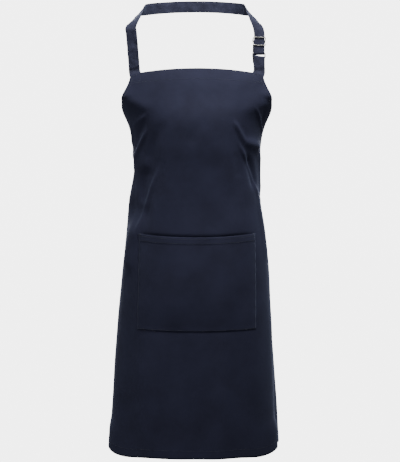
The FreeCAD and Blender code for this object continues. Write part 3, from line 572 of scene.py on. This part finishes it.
def nickel_wire():
    """Nickel plated steel wire, drawn and barrel plated: bright and a little warm, with dull spots
    about 4 mm long that blur its highlights."""
    dull_spot = 3.8462
    material, tree = blank("nickel_plated_wire")
    place = node(tree, "ShaderNodeTexCoord")
    dull = node(tree, "ShaderNodeTexNoise", [("Vector", place.outputs["Object"])],
                Scale=1 / (dull_spot * MM), Detail=4.0)
    rough = node(tree, "ShaderNodeMapRange", [("Value", dull.outputs[0])], To_Min=0.25, To_Max=0.45)
    tone = node(tree, "ShaderNodeValToRGB", [("Fac", dull.outputs[0])])
    tone.color_ramp.elements[0].color = linear("#d6d3cb")
    tone.color_ramp.elements[1].color = linear("#f0eee9")
    bump = node(tree, "ShaderNodeBump", [("Height", dull.outputs[0])], Strength=0.4,
                Distance=0.04 * MM)
    shader = node(tree, "ShaderNodeBsdfPrincipled", [("Base Color", tone.outputs[0]),
                                                     ("Roughness", rough.outputs[0]),
                                                     ("Normal", bump.outputs[0])], Metallic=1.0)
    finish_material(tree, shader)
    return material


def label_tape():
    """Woven satin tape, off white and blank: smoother than the twill, so it shines a little, with
    threads 0.8 mm apart across it."""
    material, tree = blank("satin_label_tape")
    place = node(tree, "ShaderNodeUVMap", uv_map="cut")
    warp = node(tree, "ShaderNodeTexWave", [("Vector", place.outputs[0])], wave_type="BANDS",
                bands_direction="Y", Scale=WAVE_REPEAT / (0.8 * MM))
    colour = node(tree, "ShaderNodeValToRGB", [("Fac", warp.outputs[1])])
    colour.color_ramp.elements[0].color = linear("#cfcdc6")
    colour.color_ramp.elements[1].color = linear("#e6e4de")
    bump = node(tree, "ShaderNodeBump", [("Height", warp.outputs[1])], Strength=0.5,
                Distance=0.00005)
    shader = node(tree, "ShaderNodeBsdfPrincipled", [("Base Color", colour.outputs[0]),
                                                     ("Normal", bump.outputs[0])], Roughness=0.4)
    finish_material(tree, shader)
    return material


def studio_paper():
    """Seamless white paper, evenly lit from behind, with the faintest mottling."""
    material, tree = blank("seamless_white_paper")
    place = node(tree, "ShaderNodeTexCoord")
    mottle = node(tree, "ShaderNodeTexNoise", [("Vector", place.outputs["Object"])], Scale=2.0)
    colour = node(tree, "ShaderNodeValToRGB", [("Fac", mottle.outputs[0])])
    colour.color_ramp.elements[0].color = linear("#fdfdfd")
    colour.color_ramp.elements[1].color = linear("#ffffff")
    shader = node(tree, "ShaderNodeEmission", [("Color", colour.outputs[0])], Strength=PAPER_WHITE)
    finish_material(tree, shader)
    return material


TWILL = twill("navy_twill", "#1d1e32", "#2b2d45")
TWILL_STRAP = twill("navy_twill_folded", "#191a2d", "#3a3c52", crush_high=2.6, patch=20.833,
                    contrast=(0.5, 1.0))
THREAD = sewing_thread()
NICKEL = nickel_wire()
LABEL = label_tape()


# ---------------------------------------------------------------- panel, pocket, label

HEM_TOP, HEM_LOW, HEM_SIDE, HEM_ARM, HEM_LAYER = 24.0, 18.0, 11.0, 8.0, 0.9
POCKET_FULL, POCKET_GAP, MOUTH_SAG, MOUTH_HEM, SEAM_INSET = 8.5, 1.25, 4.0, 15.0, 2.5


def armhole_drops(count):
    """Drops that divide the armhole's curve evenly."""
    return ARMHOLE * np.sin(np.linspace(0, np.pi / 2, count)) ** (2 / ARMHOLE_POWER)


def make_panel():
    """Bib and skirt in one cut: rows across it, each from edge to edge, with places closer towards
    the middle by a cubic. The hems are a second layer folded to the inside."""
    drop = np.concatenate([armhole_drops(74), np.linspace(ARMHOLE, LENGTH, 140)[1:]])[:, None]
    share = np.linspace(-1, 1, 185)[None, :]
    across = share * (0.78 + 0.22 * share ** 2) * edge_across(drop)
    drop = np.broadcast_to(drop, across.shape)
    side_hem = np.where(drop > ARMHOLE, HEM_SIDE, HEM_ARM)
    from_edge = np.abs(edge_across(drop) - np.abs(across))
    hem = np.maximum.reduce([1 - smoothstep(drop, HEM_TOP - 1, HEM_TOP + 3),
                             smoothstep(drop, LENGTH - HEM_LOW - 3, LENGTH - HEM_LOW + 1),
                             1 - smoothstep(from_edge, side_hem - 1, side_hem + 3)])
    dip = mouth_dip(across, drop)
    front, back = cloth(across, drop, dip), cloth(across, drop, dip - CLOTH - HEM_LAYER * hem)
    mesh = leaf(front, back, np.stack([across, -drop], -1))
    panel = make("front_panel_cloth", [mesh], [TWILL], "apron", ["front_panel"])
    return panel


def pocket_share(across, drop):
    """Place in the pocket: -1 to 1 across it, and 0 to 1 down it."""
    return (np.clip((across - POCKET_MIDDLE) / POCKET_HALF, -1, 1),
            np.clip((drop - POCKET_TOP) / (POCKET_LOW - POCKET_TOP), 0, 1))


def pocket_off(across, drop):
    """How far the pocket's face stands off the apron's: a fourth-power dome, fullest in the middle
    of the mouth and flat along the three sewn sides."""
    u, v = pocket_share(across, drop)
    return POCKET_FULL * (1 - u ** 4) * (1 - v ** 4) + POCKET_GAP


def pocket_sag(across, drop):
    """The drop of a point of the pocket: its mouth hangs lower in the middle, as a parabola."""
    u, v = pocket_share(across, drop)
    return drop + MOUTH_SAG * (1 - u ** 2) * (1 - v) ** 2


def pocket_fall(across, drop):
    """Soft unevenness of the pocket's cloth, which dies away at its sewn sides."""
    u, v = pocket_share(across, drop)
    return 0.8 * waves(across, drop, 60, 90, 12) * (1 - u ** 4) * (1 - v ** 6)


def mouth_dip(across, drop):
    """The panel gives way behind the pocket's mouth: a groove that follows its edge, a short bell
    above the edge and a long one below."""
    u, _ = pocket_share(across, drop)
    below = drop - pocket_sag(across, POCKET_TOP + 0 * drop)
    return -4.6 * (1 - u ** 6) * np.where(below < 4, bell(below, 4, 5), bell(below, 4, 20))


def make_pocket():
    """One sheet over the skirt's front: a dome over its sewn sides, a hem folded in at its mouth,
    and a small pucker of sine waves beside the seam."""
    u = np.linspace(-1, 1, 101)[None, :]
    v = np.linspace(0, 1, 84)[:, None]
    across = POCKET_MIDDLE + u * POCKET_HALF + 0 * v
    plain = POCKET_TOP + v * (POCKET_LOW - POCKET_TOP) + 0 * u
    from_edge = np.minimum(POCKET_HALF - np.abs(across - POCKET_MIDDLE), POCKET_LOW - plain)
    pucker = 0.35 * np.sin(plain / 4.1) * bell(from_edge, 3, 5)
    below_mouth = plain - POCKET_TOP
    hem = 1 - smoothstep(below_mouth, MOUTH_HEM, MOUTH_HEM + 3)
    off = pocket_off(across, plain) - 0.6 * smoothstep(below_mouth, MOUTH_HEM + 0.5, MOUTH_HEM + 3)
    off = off + pucker + pocket_fall(across, plain)
    drop = pocket_sag(across, plain)
    front = cloth(across, drop, off)
    back = cloth(across, drop, off - CLOTH - 0.6 * hem * (1 - u ** 8))
    pocket = make("pocket_cloth", [leaf(front, back, np.stack([across, -plain], -1))], [TWILL],
                  "apron", ["pocket"])
    return pocket


def pocket_stitches(ends, **size):
    """Stitches on the pocket's face along a line in the flat cut."""
    line = cloth_line(ends)
    a, d = line[:, 0], line[:, 1]
    off = pocket_off(a, d) + pocket_fall(a, d)
    d = pocket_sag(a, d)
    return stitches(cloth(a, d, off), outwards(a, d, off), **size)


def make_cloth_stitches():
    """Rows of lockstitch on the panel and the pocket."""
    rows = {}
    inner = BIB_HALF - 4
    rows["bib_hem_thread"] = [stitch_cloth([(-inner, HEM_TOP), (inner, HEM_TOP)])]
    low = LENGTH - HEM_LOW
    rows["bottom_hem_thread"] = [stitch_cloth([(-SKIRT_HALF + 2, low), (SKIRT_HALF - 2, low)])]
    for side, word in ((-1, "left"), (1, "right")):
        inset = side * (SKIRT_HALF - HEM_SIDE)
        rows[f"{word}_side_thread"] = [stitch_cloth([(inset, ARMHOLE + 30), (inset, low - 1.5)])]
        drop = armhole_drops(60)[4:-4]
        ahead = edge_across(drop + 0.5) - edge_across(drop - 0.5)
        long = np.hypot(ahead, 1)
        ends = np.stack([side * (edge_across(drop) - HEM_ARM / long), drop + HEM_ARM * ahead / long],
                        -1)
        rows[f"{word}_armhole_thread"] = [stitch_cloth(ends)]
        inner, outer = side * (BIB_HALF - 24), side * (BIB_HALF - 4)
        rows[f"{word}_strap_box_thread"] = [stitch_cloth(ends) for ends in box(inner, outer, 4, 20)]
        inner, outer = side * (SKIRT_HALF - 23), side * (SKIRT_HALF - 3)
        rows[f"{word}_tie_box_thread"] = [
            stitch_cloth(ends) for ends in box(inner, outer, ARMHOLE + 4, ARMHOLE + 25)]
    left, right = POCKET_MIDDLE - POCKET_HALF, POCKET_MIDDLE + POCKET_HALF
    seam_left, seam_right, seam_low = left + SEAM_INSET, right - SEAM_INSET, POCKET_LOW - SEAM_INSET
    rows["pocket_seam_thread"] = [
        pocket_stitches([(seam_left, POCKET_TOP + 2), (seam_left, seam_low),
                         (seam_right, seam_low), (seam_right, POCKET_TOP + 2)])]
    rows["pocket_hem_thread"] = [
        pocket_stitches([(left + 3, POCKET_TOP + d), (right - 3, POCKET_TOP + d)]) for d in (5, MOUTH_HEM)]
    rows["pocket_bartacks"] = [
        pocket_stitches([(edge, POCKET_TOP + d), (edge + step, POCKET_TOP + d)], pitch=1.0,
                        long=1.3, thick=0.4)
        for edge, step in ((left + 1, 8), (right - 1, -8)) for d in (0.8, 1.6, 2.4)]
    for name, parts in rows.items():
        make(name + "_stitches", [join(parts)], [THREAD], "apron", [name])


def box(inner, outer, top, low):
    """The four sides of a rectangle of stitching."""
    return [[(inner, top), (outer, top)], [(inner, low), (outer, low)],
            [(inner, top), (inner, low)], [(outer, top), (outer, low)]]


def make_label():
    """A blank care label, sewn inside the bib by its top edge."""
    across = np.linspace(-17, 17, 23)[None, :] + np.zeros((31, 1))
    drop = np.linspace(26, 74, 31)[:, None] + np.zeros((1, 23))
    off = -1.9 - 0.9 * smoothstep(drop, 30, 74) * (1 + 0.6 * np.sin(across / 6))
    mesh = leaf(cloth(across, drop, off), cloth(across, drop, off - 0.25),
                np.stack([across, -drop], -1))
    make("care_label_tape", [mesh], [LABEL], "apron", ["care_label"])


# ---------------------------------------------------------------- neck strap

# Heights are over the bib's top edge. TURN is how far the risers face outwards, LEAN how far the
# left one leans out, and LOOP the radius of a strap's middle where it turns round the ring.
TURN = math.radians(18)
RISER_ACROSS, RISER_FORWARD = 138.0, 73.0
FOLD, STRAIGHT_TOP, LEAN = -5.0, 80.0, 6.5
RING_LOW, RING_HIGH, LOOP = 26.0, 36.5, 3.9
SLIDER = 62.0
WIDER_LEFT = 1.08
LOOP_PLACES = np.array([(135, -71, 93), (128.5, -62, 107), (122, -38, 123), (117.5, -2, 138),
                        (107, 34, 148), (83, 60, 155), (44, 72, 159.5)])
LOOP_WIDE = np.array([(0.94, 0.28, -0.18), (0.88, 0.28, -0.38), (0.80, 0.18, -0.58),
                      (0.62, 0.08, -0.78), (0.20, -0.02, -1), (0.04, -0.03, -1), (0, 0, -1)])
TO_PART = np.array([0, -NAPE_BEHIND, -NAPE_HEIGHT])


# Creases pressed into the strap, from its left end: distance along, slope across, width, height.
STRAP_CREASES = [
    (48, 0.25, 3.0, 0.45), (66, -0.35, 4.0, -0.5), (88, 0.15, 2.6, 0.5), (97, 0.15, 3.2, -0.55),
    (131, -0.4, 4.0, 0.5), (188, 0.5, 4.5, -0.6), (222, -0.3, 4.0, 0.55), (262, 0.7, 5.0, -0.6),
    (301, -0.6, 4.0, 0.5), (338, 0.4, 5.0, -0.55), (371, -0.5, 4.0, 0.6), (398, 0.8, 4.5, -0.6),
    (431, 0.3, 5.0, 0.55), (468, -0.6, 4.0, -0.55), (508, 0.5, 4.5, 0.5), (560, -0.4, 5.0, -0.5),
    (600, 0.3, 3.5, 0.45)]
# Strap and tab pull at the ring a little aslant, so that the gap between them is a wedge.
STRAP_ASKEW, TAB_ASKEW = 0.06, 0.13
# The slider's middle bar lies behind the strap's middle: half the strap, clearance, the end loop's
# wall, clearance, and the bar's radius.
SLIDER_DEEP = 0.6 + 0.3 + 1.1 + 0.3 + 1.0
RETURN_BEHIND, RETURN_THICK, END_THICK = 6.4, 1.1, 0.9
UP = np.array([0, 0, 1.0])


def riser_frame(side):
    """Width direction and face direction of a riser, turned outwards about the vertical."""
    wide = np.array([math.cos(TURN), side * math.sin(TURN), 0])
    return wide, np.array([side * math.sin(TURN), -math.cos(TURN), 0])


def riser_point(side, height, behind=0.0):
    """A point of a riser: its height over the bib's top and how far behind the strap's middle."""
    _, face = riser_frame(side)
    lean = LEAN * height / STRAIGHT_TOP if side < 0 else 0.0
    middle = np.array([side * (RISER_ACROSS + lean), -RISER_FORWARD, height])
    return middle - face * behind + TO_PART


def sewn_start(side, behind):
    """Middles and width directions of a strap's end behind the bib, from its lower end upwards."""
    across = side * (BIB_HALF - 1 - STRAP_WIDE / 2)
    middles, hints = [], []
    for drop in (31.0, 23.0, 15.0):
        off = -CLOTH - 1.7 - behind
        middles.append(cloth(across, drop, off))
        hints.append(unit(cloth(across + 9, drop, off) - cloth(across - 9, drop, off)))
    return middles, hints


def turn_round(centre, face, start_up):
    """Half a circle of strap round a bar, from its front to its back: middles and face directions.
    start_up is 1 where it goes over the bar and -1 where it goes under."""
    turn = np.linspace(0, np.pi, 15)[1:, None]
    way = UP * start_up
    return (centre + face * LOOP * np.cos(turn) + way * LOOP * np.sin(turn),
            face * np.cos(turn) + way * np.sin(turn))


def make_neck_strap():
    """One strap: sewn behind the bib's left corner, up, round the neck, down on the right and round
    the ring's upper bar. It is narrower and smooth where the slider runs on it."""
    wide_left, wide_right, face_right = riser_frame(-1)[0], -riser_frame(1)[0], riser_frame(1)[1]
    middles, hints = sewn_start(-1, 0.6)
    for height in (FOLD - 1, 8, 40, STRAIGHT_TOP):
        middles.append(riser_point(-1, height))
        hints.append(wide_left)
    middles += list(LOOP_PLACES * np.array([-WIDER_LEFT, 1, 1]) + TO_PART)
    hints += list(LOOP_WIDE * np.array([1, -1, -1]))
    middles.append(np.array([0, STRAP_THICK / 2, 0]))
    hints.append(UP)
    middles += list(LOOP_PLACES[::-1] + TO_PART)
    hints += list(-LOOP_WIDE[::-1])
    for height, back in ((STRAIGHT_TOP, 0.3), (66, 0.2), (52, 0.1), (RING_HIGH, 0)):
        middles.append(riser_point(1, height, back))
        hints.append(wide_right)
    place, wide, face = frames_along(middles, hints, 16)
    under, under_face = turn_round(riser_point(1, RING_HIGH, LOOP), face_right, -1)
    before = len(place)
    place = np.concatenate([place, under])
    wide = np.concatenate([wide, np.broadcast_to(wide_right, under.shape)])
    face = np.concatenate([face, under_face])
    station = np.arange(len(place))
    askew = STRAP_ASKEW * smoothstep(station, before - 20, before - 1)
    on_riser = smoothstep(place[:, 0], 126, 134) * smoothstep(station, 200, 220)
    width = STRAP_WIDE - 1.1 * on_riser
    strap = band(place, wide, face, width, STRAP_THICK, 0.32 * (1 - on_riser), seed=21,
                 creases=STRAP_CREASES, askew=askew)
    rows = band_stitches(place, wide, face, width, STRAP_THICK)
    obj = make("neck_strap_cloth", [strap, rows], [TWILL_STRAP, THREAD],
               stands_for=["neck_strap", "left_strap_end"])
    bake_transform(obj)
    return obj


def make_strap_tab():
    """The short tab: sewn behind the bib's right corner, up in front, over the ring's lower bar
    and down behind itself."""
    wide, face = riser_frame(1)
    layer = STRAP_THICK + 0.1
    middles, hints = sewn_start(1, 0.6)
    for height in (FOLD - 1, 6, 15, RING_LOW):
        middles.append(riser_point(1, height))
        hints.append(wide)
    place, wides, faces = frames_along(middles, hints, 8)
    over, over_face = turn_round(riser_point(1, RING_LOW, LOOP), face, 1)
    backs = [riser_point(1, RING_LOW, 2 * LOOP), riser_point(1, 17, 2 * LOOP - 1.2),
             riser_point(1, 9, layer + 0.6), riser_point(1, FOLD, layer)]
    low_middles, low_hints = sewn_start(1, 0.6 + layer)
    backs += low_middles[::-1]
    back_place, back_wide, back_face = frames_along(backs, [wide] * 4 + low_hints[::-1], 8)
    top = len(place) + len(over) // 2 - 1
    place = np.concatenate([place, over, back_place[1:]])
    wides = np.concatenate([wides, np.broadcast_to(wide, over.shape), back_wide[1:]])
    faces = np.concatenate([faces, over_face, back_face[1:]])
    from_top = np.abs(np.arange(len(place)) - top)
    tab = band(place, wides, faces, STRAP_WIDE, STRAP_THICK, 0.12, seed=22,
               askew=TAB_ASKEW * (1 - smoothstep(from_top, 9, 22)))
    rows = band_stitches(place, wides, faces, STRAP_WIDE, STRAP_THICK, both=False)
    obj = make("strap_tab_cloth", [tab, rows], [TWILL_STRAP, THREAD],
               stands_for=["strap_tab", "right_tab_end"])
    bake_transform(obj)


def make_strap_return():
    """The strap's run from the ring back up to the slider, which stretches as the slider moves."""
    wide = riser_frame(1)[0]
    run = [riser_point(1, height, back) for height, back in
           ((RING_HIGH, 2 * LOOP), (45, 6.8), (50, RETURN_BEHIND), (54, RETURN_BEHIND - 0.2))]
    place, wides, faces = frames_along(run, [wide] * 4, 6)
    obj = make("strap_return_cloth",
               [band(place, wides, faces, STRAP_WIDE, RETURN_THICK, ripple=0.1, seed=23),
                band_stitches(place, wides, faces, STRAP_WIDE, RETURN_THICK)],
               [TWILL_STRAP, THREAD], stands_for=["strap_return"])
    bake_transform(obj)


def make_strap_end():
    """The strap's end: up, half a circle round the slider's middle bar and down to the row of
    stitching that closes it."""
    wide, face = riser_frame(1)
    radius = 1.0 + 0.25 + 0.45
    turn = np.linspace(0, np.pi, 17)[:, None]
    centre = riser_point(1, SLIDER, SLIDER_DEEP)
    over = centre + face * radius * np.cos(turn) + UP * radius * np.sin(turn)
    over_face = face * np.cos(turn) + UP * np.sin(turn)
    front = [riser_point(1, SLIDER - 9, SLIDER_DEEP + 2.1),
             riser_point(1, SLIDER - 5, SLIDER_DEEP + 1.2),
             riser_point(1, SLIDER - 2.5, SLIDER_DEEP - 0.9), centre + face * radius]
    back = [centre - face * radius, riser_point(1, SLIDER - 4, SLIDER_DEEP + 2.6),
            riser_point(1, SLIDER - 9, SLIDER_DEEP + 3.1)]
    front_place, _, front_face = frames_along(front, [wide] * 4, 6)
    back_place, _, back_face = frames_along(back, [wide] * 3, 6)
    place = np.concatenate([front_place, over[1:-1], back_place])
    faces = np.concatenate([front_face, over_face[1:-1], back_face])
    wides = np.broadcast_to(wide, place.shape)
    loop = band(place, wides, faces, STRAP_WIDE - 0.6, END_THICK, seed=24)
    line = np.stack([riser_point(1, SLIDER - 6.5, SLIDER_DEEP + 3.45) + wide * w
                     for w in np.linspace(-11, 11, 9)])
    make("strap_end_loop_cloth", [loop], [TWILL_STRAP], "slider", ["strap_end_loop"])
    make("strap_end_stitches", [stitches(line, np.broadcast_to(-face, line.shape))], [THREAD],
         "slider", ["strap_end_thread"])


# ---------------------------------------------------------------- waist ties

TIE_WIDE, TIE_THICK = 28.0, 1.2
# the knot's middle: level with the ties' sewn ends, and just off the wearer's back
KNOT_HEIGHT = float(height_of(np.array(SKIRT_HALF), np.array(ARMHOLE))) - TIE_WIDE / 2
KNOT_BEHIND = float(level_value(np.array(-KNOT_HEIGHT), 3)) + 7.5 + 4


def tie_point(x, behind, rise):
    """A point near the bow, from the middle of its knot."""
    return np.array([x, KNOT_BEHIND + behind, KNOT_HEIGHT + rise]) + TO_PART


def pinch(place, near, far):
    """From 1 beside the knot to 0 further out, by a smooth step of the distance."""
    return 1 - smoothstep(np.linalg.norm(place - tie_point(0, 0, 0), axis=1), near, far)


def ribbon(name, place, wide, face, body, stands_for, seed, width=TIE_WIDE, squeeze=0.0):
    """A length of tie: narrower and pleated where the knot squeezes it."""
    widths = width * (1 - 0.5 * squeeze)
    mesh = band(place, wide, face, widths, TIE_THICK, ripple=0.5, pleat=1.6 * squeeze, seed=seed)
    rows = band_stitches(place, wide, face, widths, TIE_THICK, both=False)
    obj = make(name, [mesh, rows], [TWILL_STRAP, THREAD], body, stands_for)
    return obj


def make_tie_ends():
    """From inside the skirt's corner across the gap into the knot."""
    for side, word in ((-1, "left"), (1, "right")):
        middle_drop = ARMHOLE + TIE_WIDE / 2
        middles, hints = [], []
        for inset in (26.0, 13.0, 4.0):
            across = side * (SKIRT_HALF - inset)
            spots = [cloth(across, middle_drop + d, -CLOTH - 1.4, still=True) for d in (-10, 0, 10)]
            middles.append(spots[1])
            hints.append((spots[0] - spots[2]) * side)
        for x, behind, rise in ((side * 19, -7.5, 1), (side * 6, -4.5, 0)):
            middles.append(tie_point(x, behind, rise))
            hints.append((0, 0, 20 * side))
        place, wide, face = frames_along(middles, hints, 8)
        ribbon(f"{word}_tie_end_cloth", place, wide, face, "apron", [f"{word}_tie_end"], 31,
               squeeze=pinch(place, 4, 24))


def make_bow_loops():
    """A drooping loop each side of the knot: out, round and back nearer the wearer."""
    places = ((5, 4, 0), (32, 10, 3), (74, 13, -6), (108, 11, -24), (123, 5, -38),
              (112, 0, -32), (76, -1, -14), (34, 0, -1), (5, 1, 0))
    for side, word in ((-1, "left"), (1, "right")):
        middles = [tie_point(side * x, y, z) for x, y, z in places]
        hints = [(side * (0.12 + 0.3 * (k in (3, 4, 5))), -0.35, 1)
                 for k in range(len(places))]
        place, wide, face = frames_along(middles, hints, 12)
        ribbon(f"{word}_bow_loop_cloth", place, wide, face, "apron", [f"{word}_bow_loop"],
               33 + side, width=TIE_WIDE - 2, squeeze=pinch(place, 8, 46))


def make_tails():
    """A tie's free end: down from the knot, over the hips and straight down."""
    below = (-2, -14, -30, -52, -118, -190, -270, -350, -432)
    sideways = (5, 9, 15, 20, 24, 26, 27, 30, 31)
    for side, word in ((-1, "left"), (1, "right")):
        middles, hints = [], []
        for drop, x in zip(below, sideways):
            height = KNOT_HEIGHT + drop
            hips = float(level_value(np.array(-height), 3)) + 4
            behind = max(KNOT_BEHIND + 2, hips)
            turn = math.radians(8 + 0.04 * drop)
            middles.append(np.array([side * x, behind, height]) + TO_PART)
            hints.append((math.cos(turn), side * math.sin(turn), 0))
        place, wide, face = frames_along(middles, hints, 10)
        obj = ribbon(f"{word}_tie_tail_cloth", place, wide, face, None, [f"{word}_tie_tail"],
                     41 + side, squeeze=pinch(place, 10, 52))
        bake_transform(obj)


def make_knot():
    """The knot: a squarish ball, with powers of sine and cosine of both angles for its three
    radii, drawn in at the middle by a fourth power of a cosine, with sine folds from top to
    bottom."""
    lat = np.linspace(-np.pi / 2, np.pi / 2, 49)[:, None]
    lon = np.linspace(0, 2 * np.pi, 73)[None, :]

    def blunt(value, power):
        return np.sign(value) * np.abs(value) ** power

    x = 12.5 * blunt(np.cos(lat), 0.75) * blunt(np.cos(lon), 0.8)
    y = 8.2 * blunt(np.cos(lat), 0.75) * blunt(np.sin(lon), 0.85)
    z = 14.0 * blunt(np.sin(lat), 0.8) * np.ones_like(lon)
    crease = 1 + 0.05 * np.sin(x / 2.1 + 0.3 * np.sin(z / 5)) * np.cos(lat) ** 0.5
    waist = 1 - 0.10 * np.cos(z / 14 * np.pi / 2) ** 4
    grid = np.stack([x * waist, y * crease, z], -1) + tie_point(0, 0, 0)
    grid[:, -1] = grid[:, 0]
    flat = np.stack([lon * 12 + 0 * lat, lat * 14 + 0 * lon], -1)
    mesh = (grid.reshape(-1, 3), grid_faces(49, 73, flip=True), flat.reshape(-1, 2))
    obj = make("bow_knot_cloth", [mesh], [TWILL_STRAP], "apron", ["bow_knot"])
    weld(obj)
    return obj


def weld(obj):
    """Closes a surface's seam and poles, and turns its faces outwards."""
    work = bmesh.new()
    work.from_mesh(obj.data)
    bmesh.ops.remove_doubles(work, verts=work.verts, dist=1e-6)
    bmesh.ops.recalc_face_normals(work, faces=work.faces)
    work.to_mesh(obj.data)
    work.free()


# ---------------------------------------------------------------- carried-over metal

def dress_metal():
    """The ring's and the slider's wires keep the CAD's own meshes, and get their plating."""
    for name in ("strap_ring", "slider_frame", "slider_bar"):
        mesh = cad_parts[name].data
        mesh.materials.clear()
        mesh.materials.append(NICKEL)
        mesh.polygons.foreach_set("use_smooth", np.ones(len(mesh.polygons), bool))


# ---------------------------------------------------------------- studio

def make_studio():
    """A floor of white paper, white air that lights the cloth only softly, one softbox above and
    in front, a weak one lower down on the left, two behind for the back, and the camera."""
    corners = [(-40, -40, FLOOR), (40, -40, FLOOR), (40, 40, FLOOR), (-40, 40, FLOOR)]
    mesh = bpy.data.meshes.new("studio_floor")
    mesh.from_pydata(corners, [], [(0, 1, 2, 3)])
    mesh.materials.append(studio_paper())
    floor = bpy.data.objects.new("studio_floor", mesh)
    bpy.context.collection.objects.link(floor)
    floor.visible_diffuse = floor.visible_glossy = floor.visible_shadow = False
    for name, place, size, power in LIGHTS:
        light = bpy.data.lights.new(name, "AREA")
        light.shape = "RECTANGLE"
        light.size, light.size_y = size
        light.energy = power
        obj = bpy.data.objects.new(name, light)
        obj.location = place
        aim = Vector(LIGHTS_AIM) - Vector(place)
        obj.rotation_euler = aim.to_track_quat("-Z", "Y").to_euler()
        obj.visible_camera = False
        bpy.context.collection.objects.link(obj)
    world = bpy.data.worlds.new("studio_air")
    bpy.context.scene.world = world
    world.use_nodes = True
    tree = world.node_tree
    tree.nodes.clear()
    ray = node(tree, "ShaderNodeLightPath")
    soft = node(tree, "ShaderNodeBackground", Color=(1, 1, 1, 1), Strength=AIR_LIGHT)
    seen = node(tree, "ShaderNodeBackground", Color=(1, 1, 1, 1), Strength=PAPER_WHITE)
    both = node(tree, "ShaderNodeMixShader", [(0, ray.outputs["Is Camera Ray"]),
                                              (1, soft.outputs[0]), (2, seen.outputs[0])])
    output = tree.nodes.new("ShaderNodeOutputWorld")
    tree.links.new(both.outputs[0], output.inputs["Surface"])
    camera = bpy.data.cameras.new("camera")
    camera.lens, camera.sensor_width, camera.clip_end = CAMERA_LENS, CAMERA_SENSOR, 100
    eye = bpy.data.objects.new("camera", camera)
    eye.location = CAMERA_PLACE
    eye.rotation_euler = (math.pi / 2, 0, 0)
    bpy.context.collection.objects.link(eye)
    bpy.context.scene.camera = eye


make_panel()
make_pocket()
make_label()
make_cloth_stitches()
make_knot()
make_neck_strap()
make_strap_tab()
make_strap_return()
make_strap_end()
make_tie_ends()
make_bow_loops()
make_tails()
dress_metal()
make_studio()
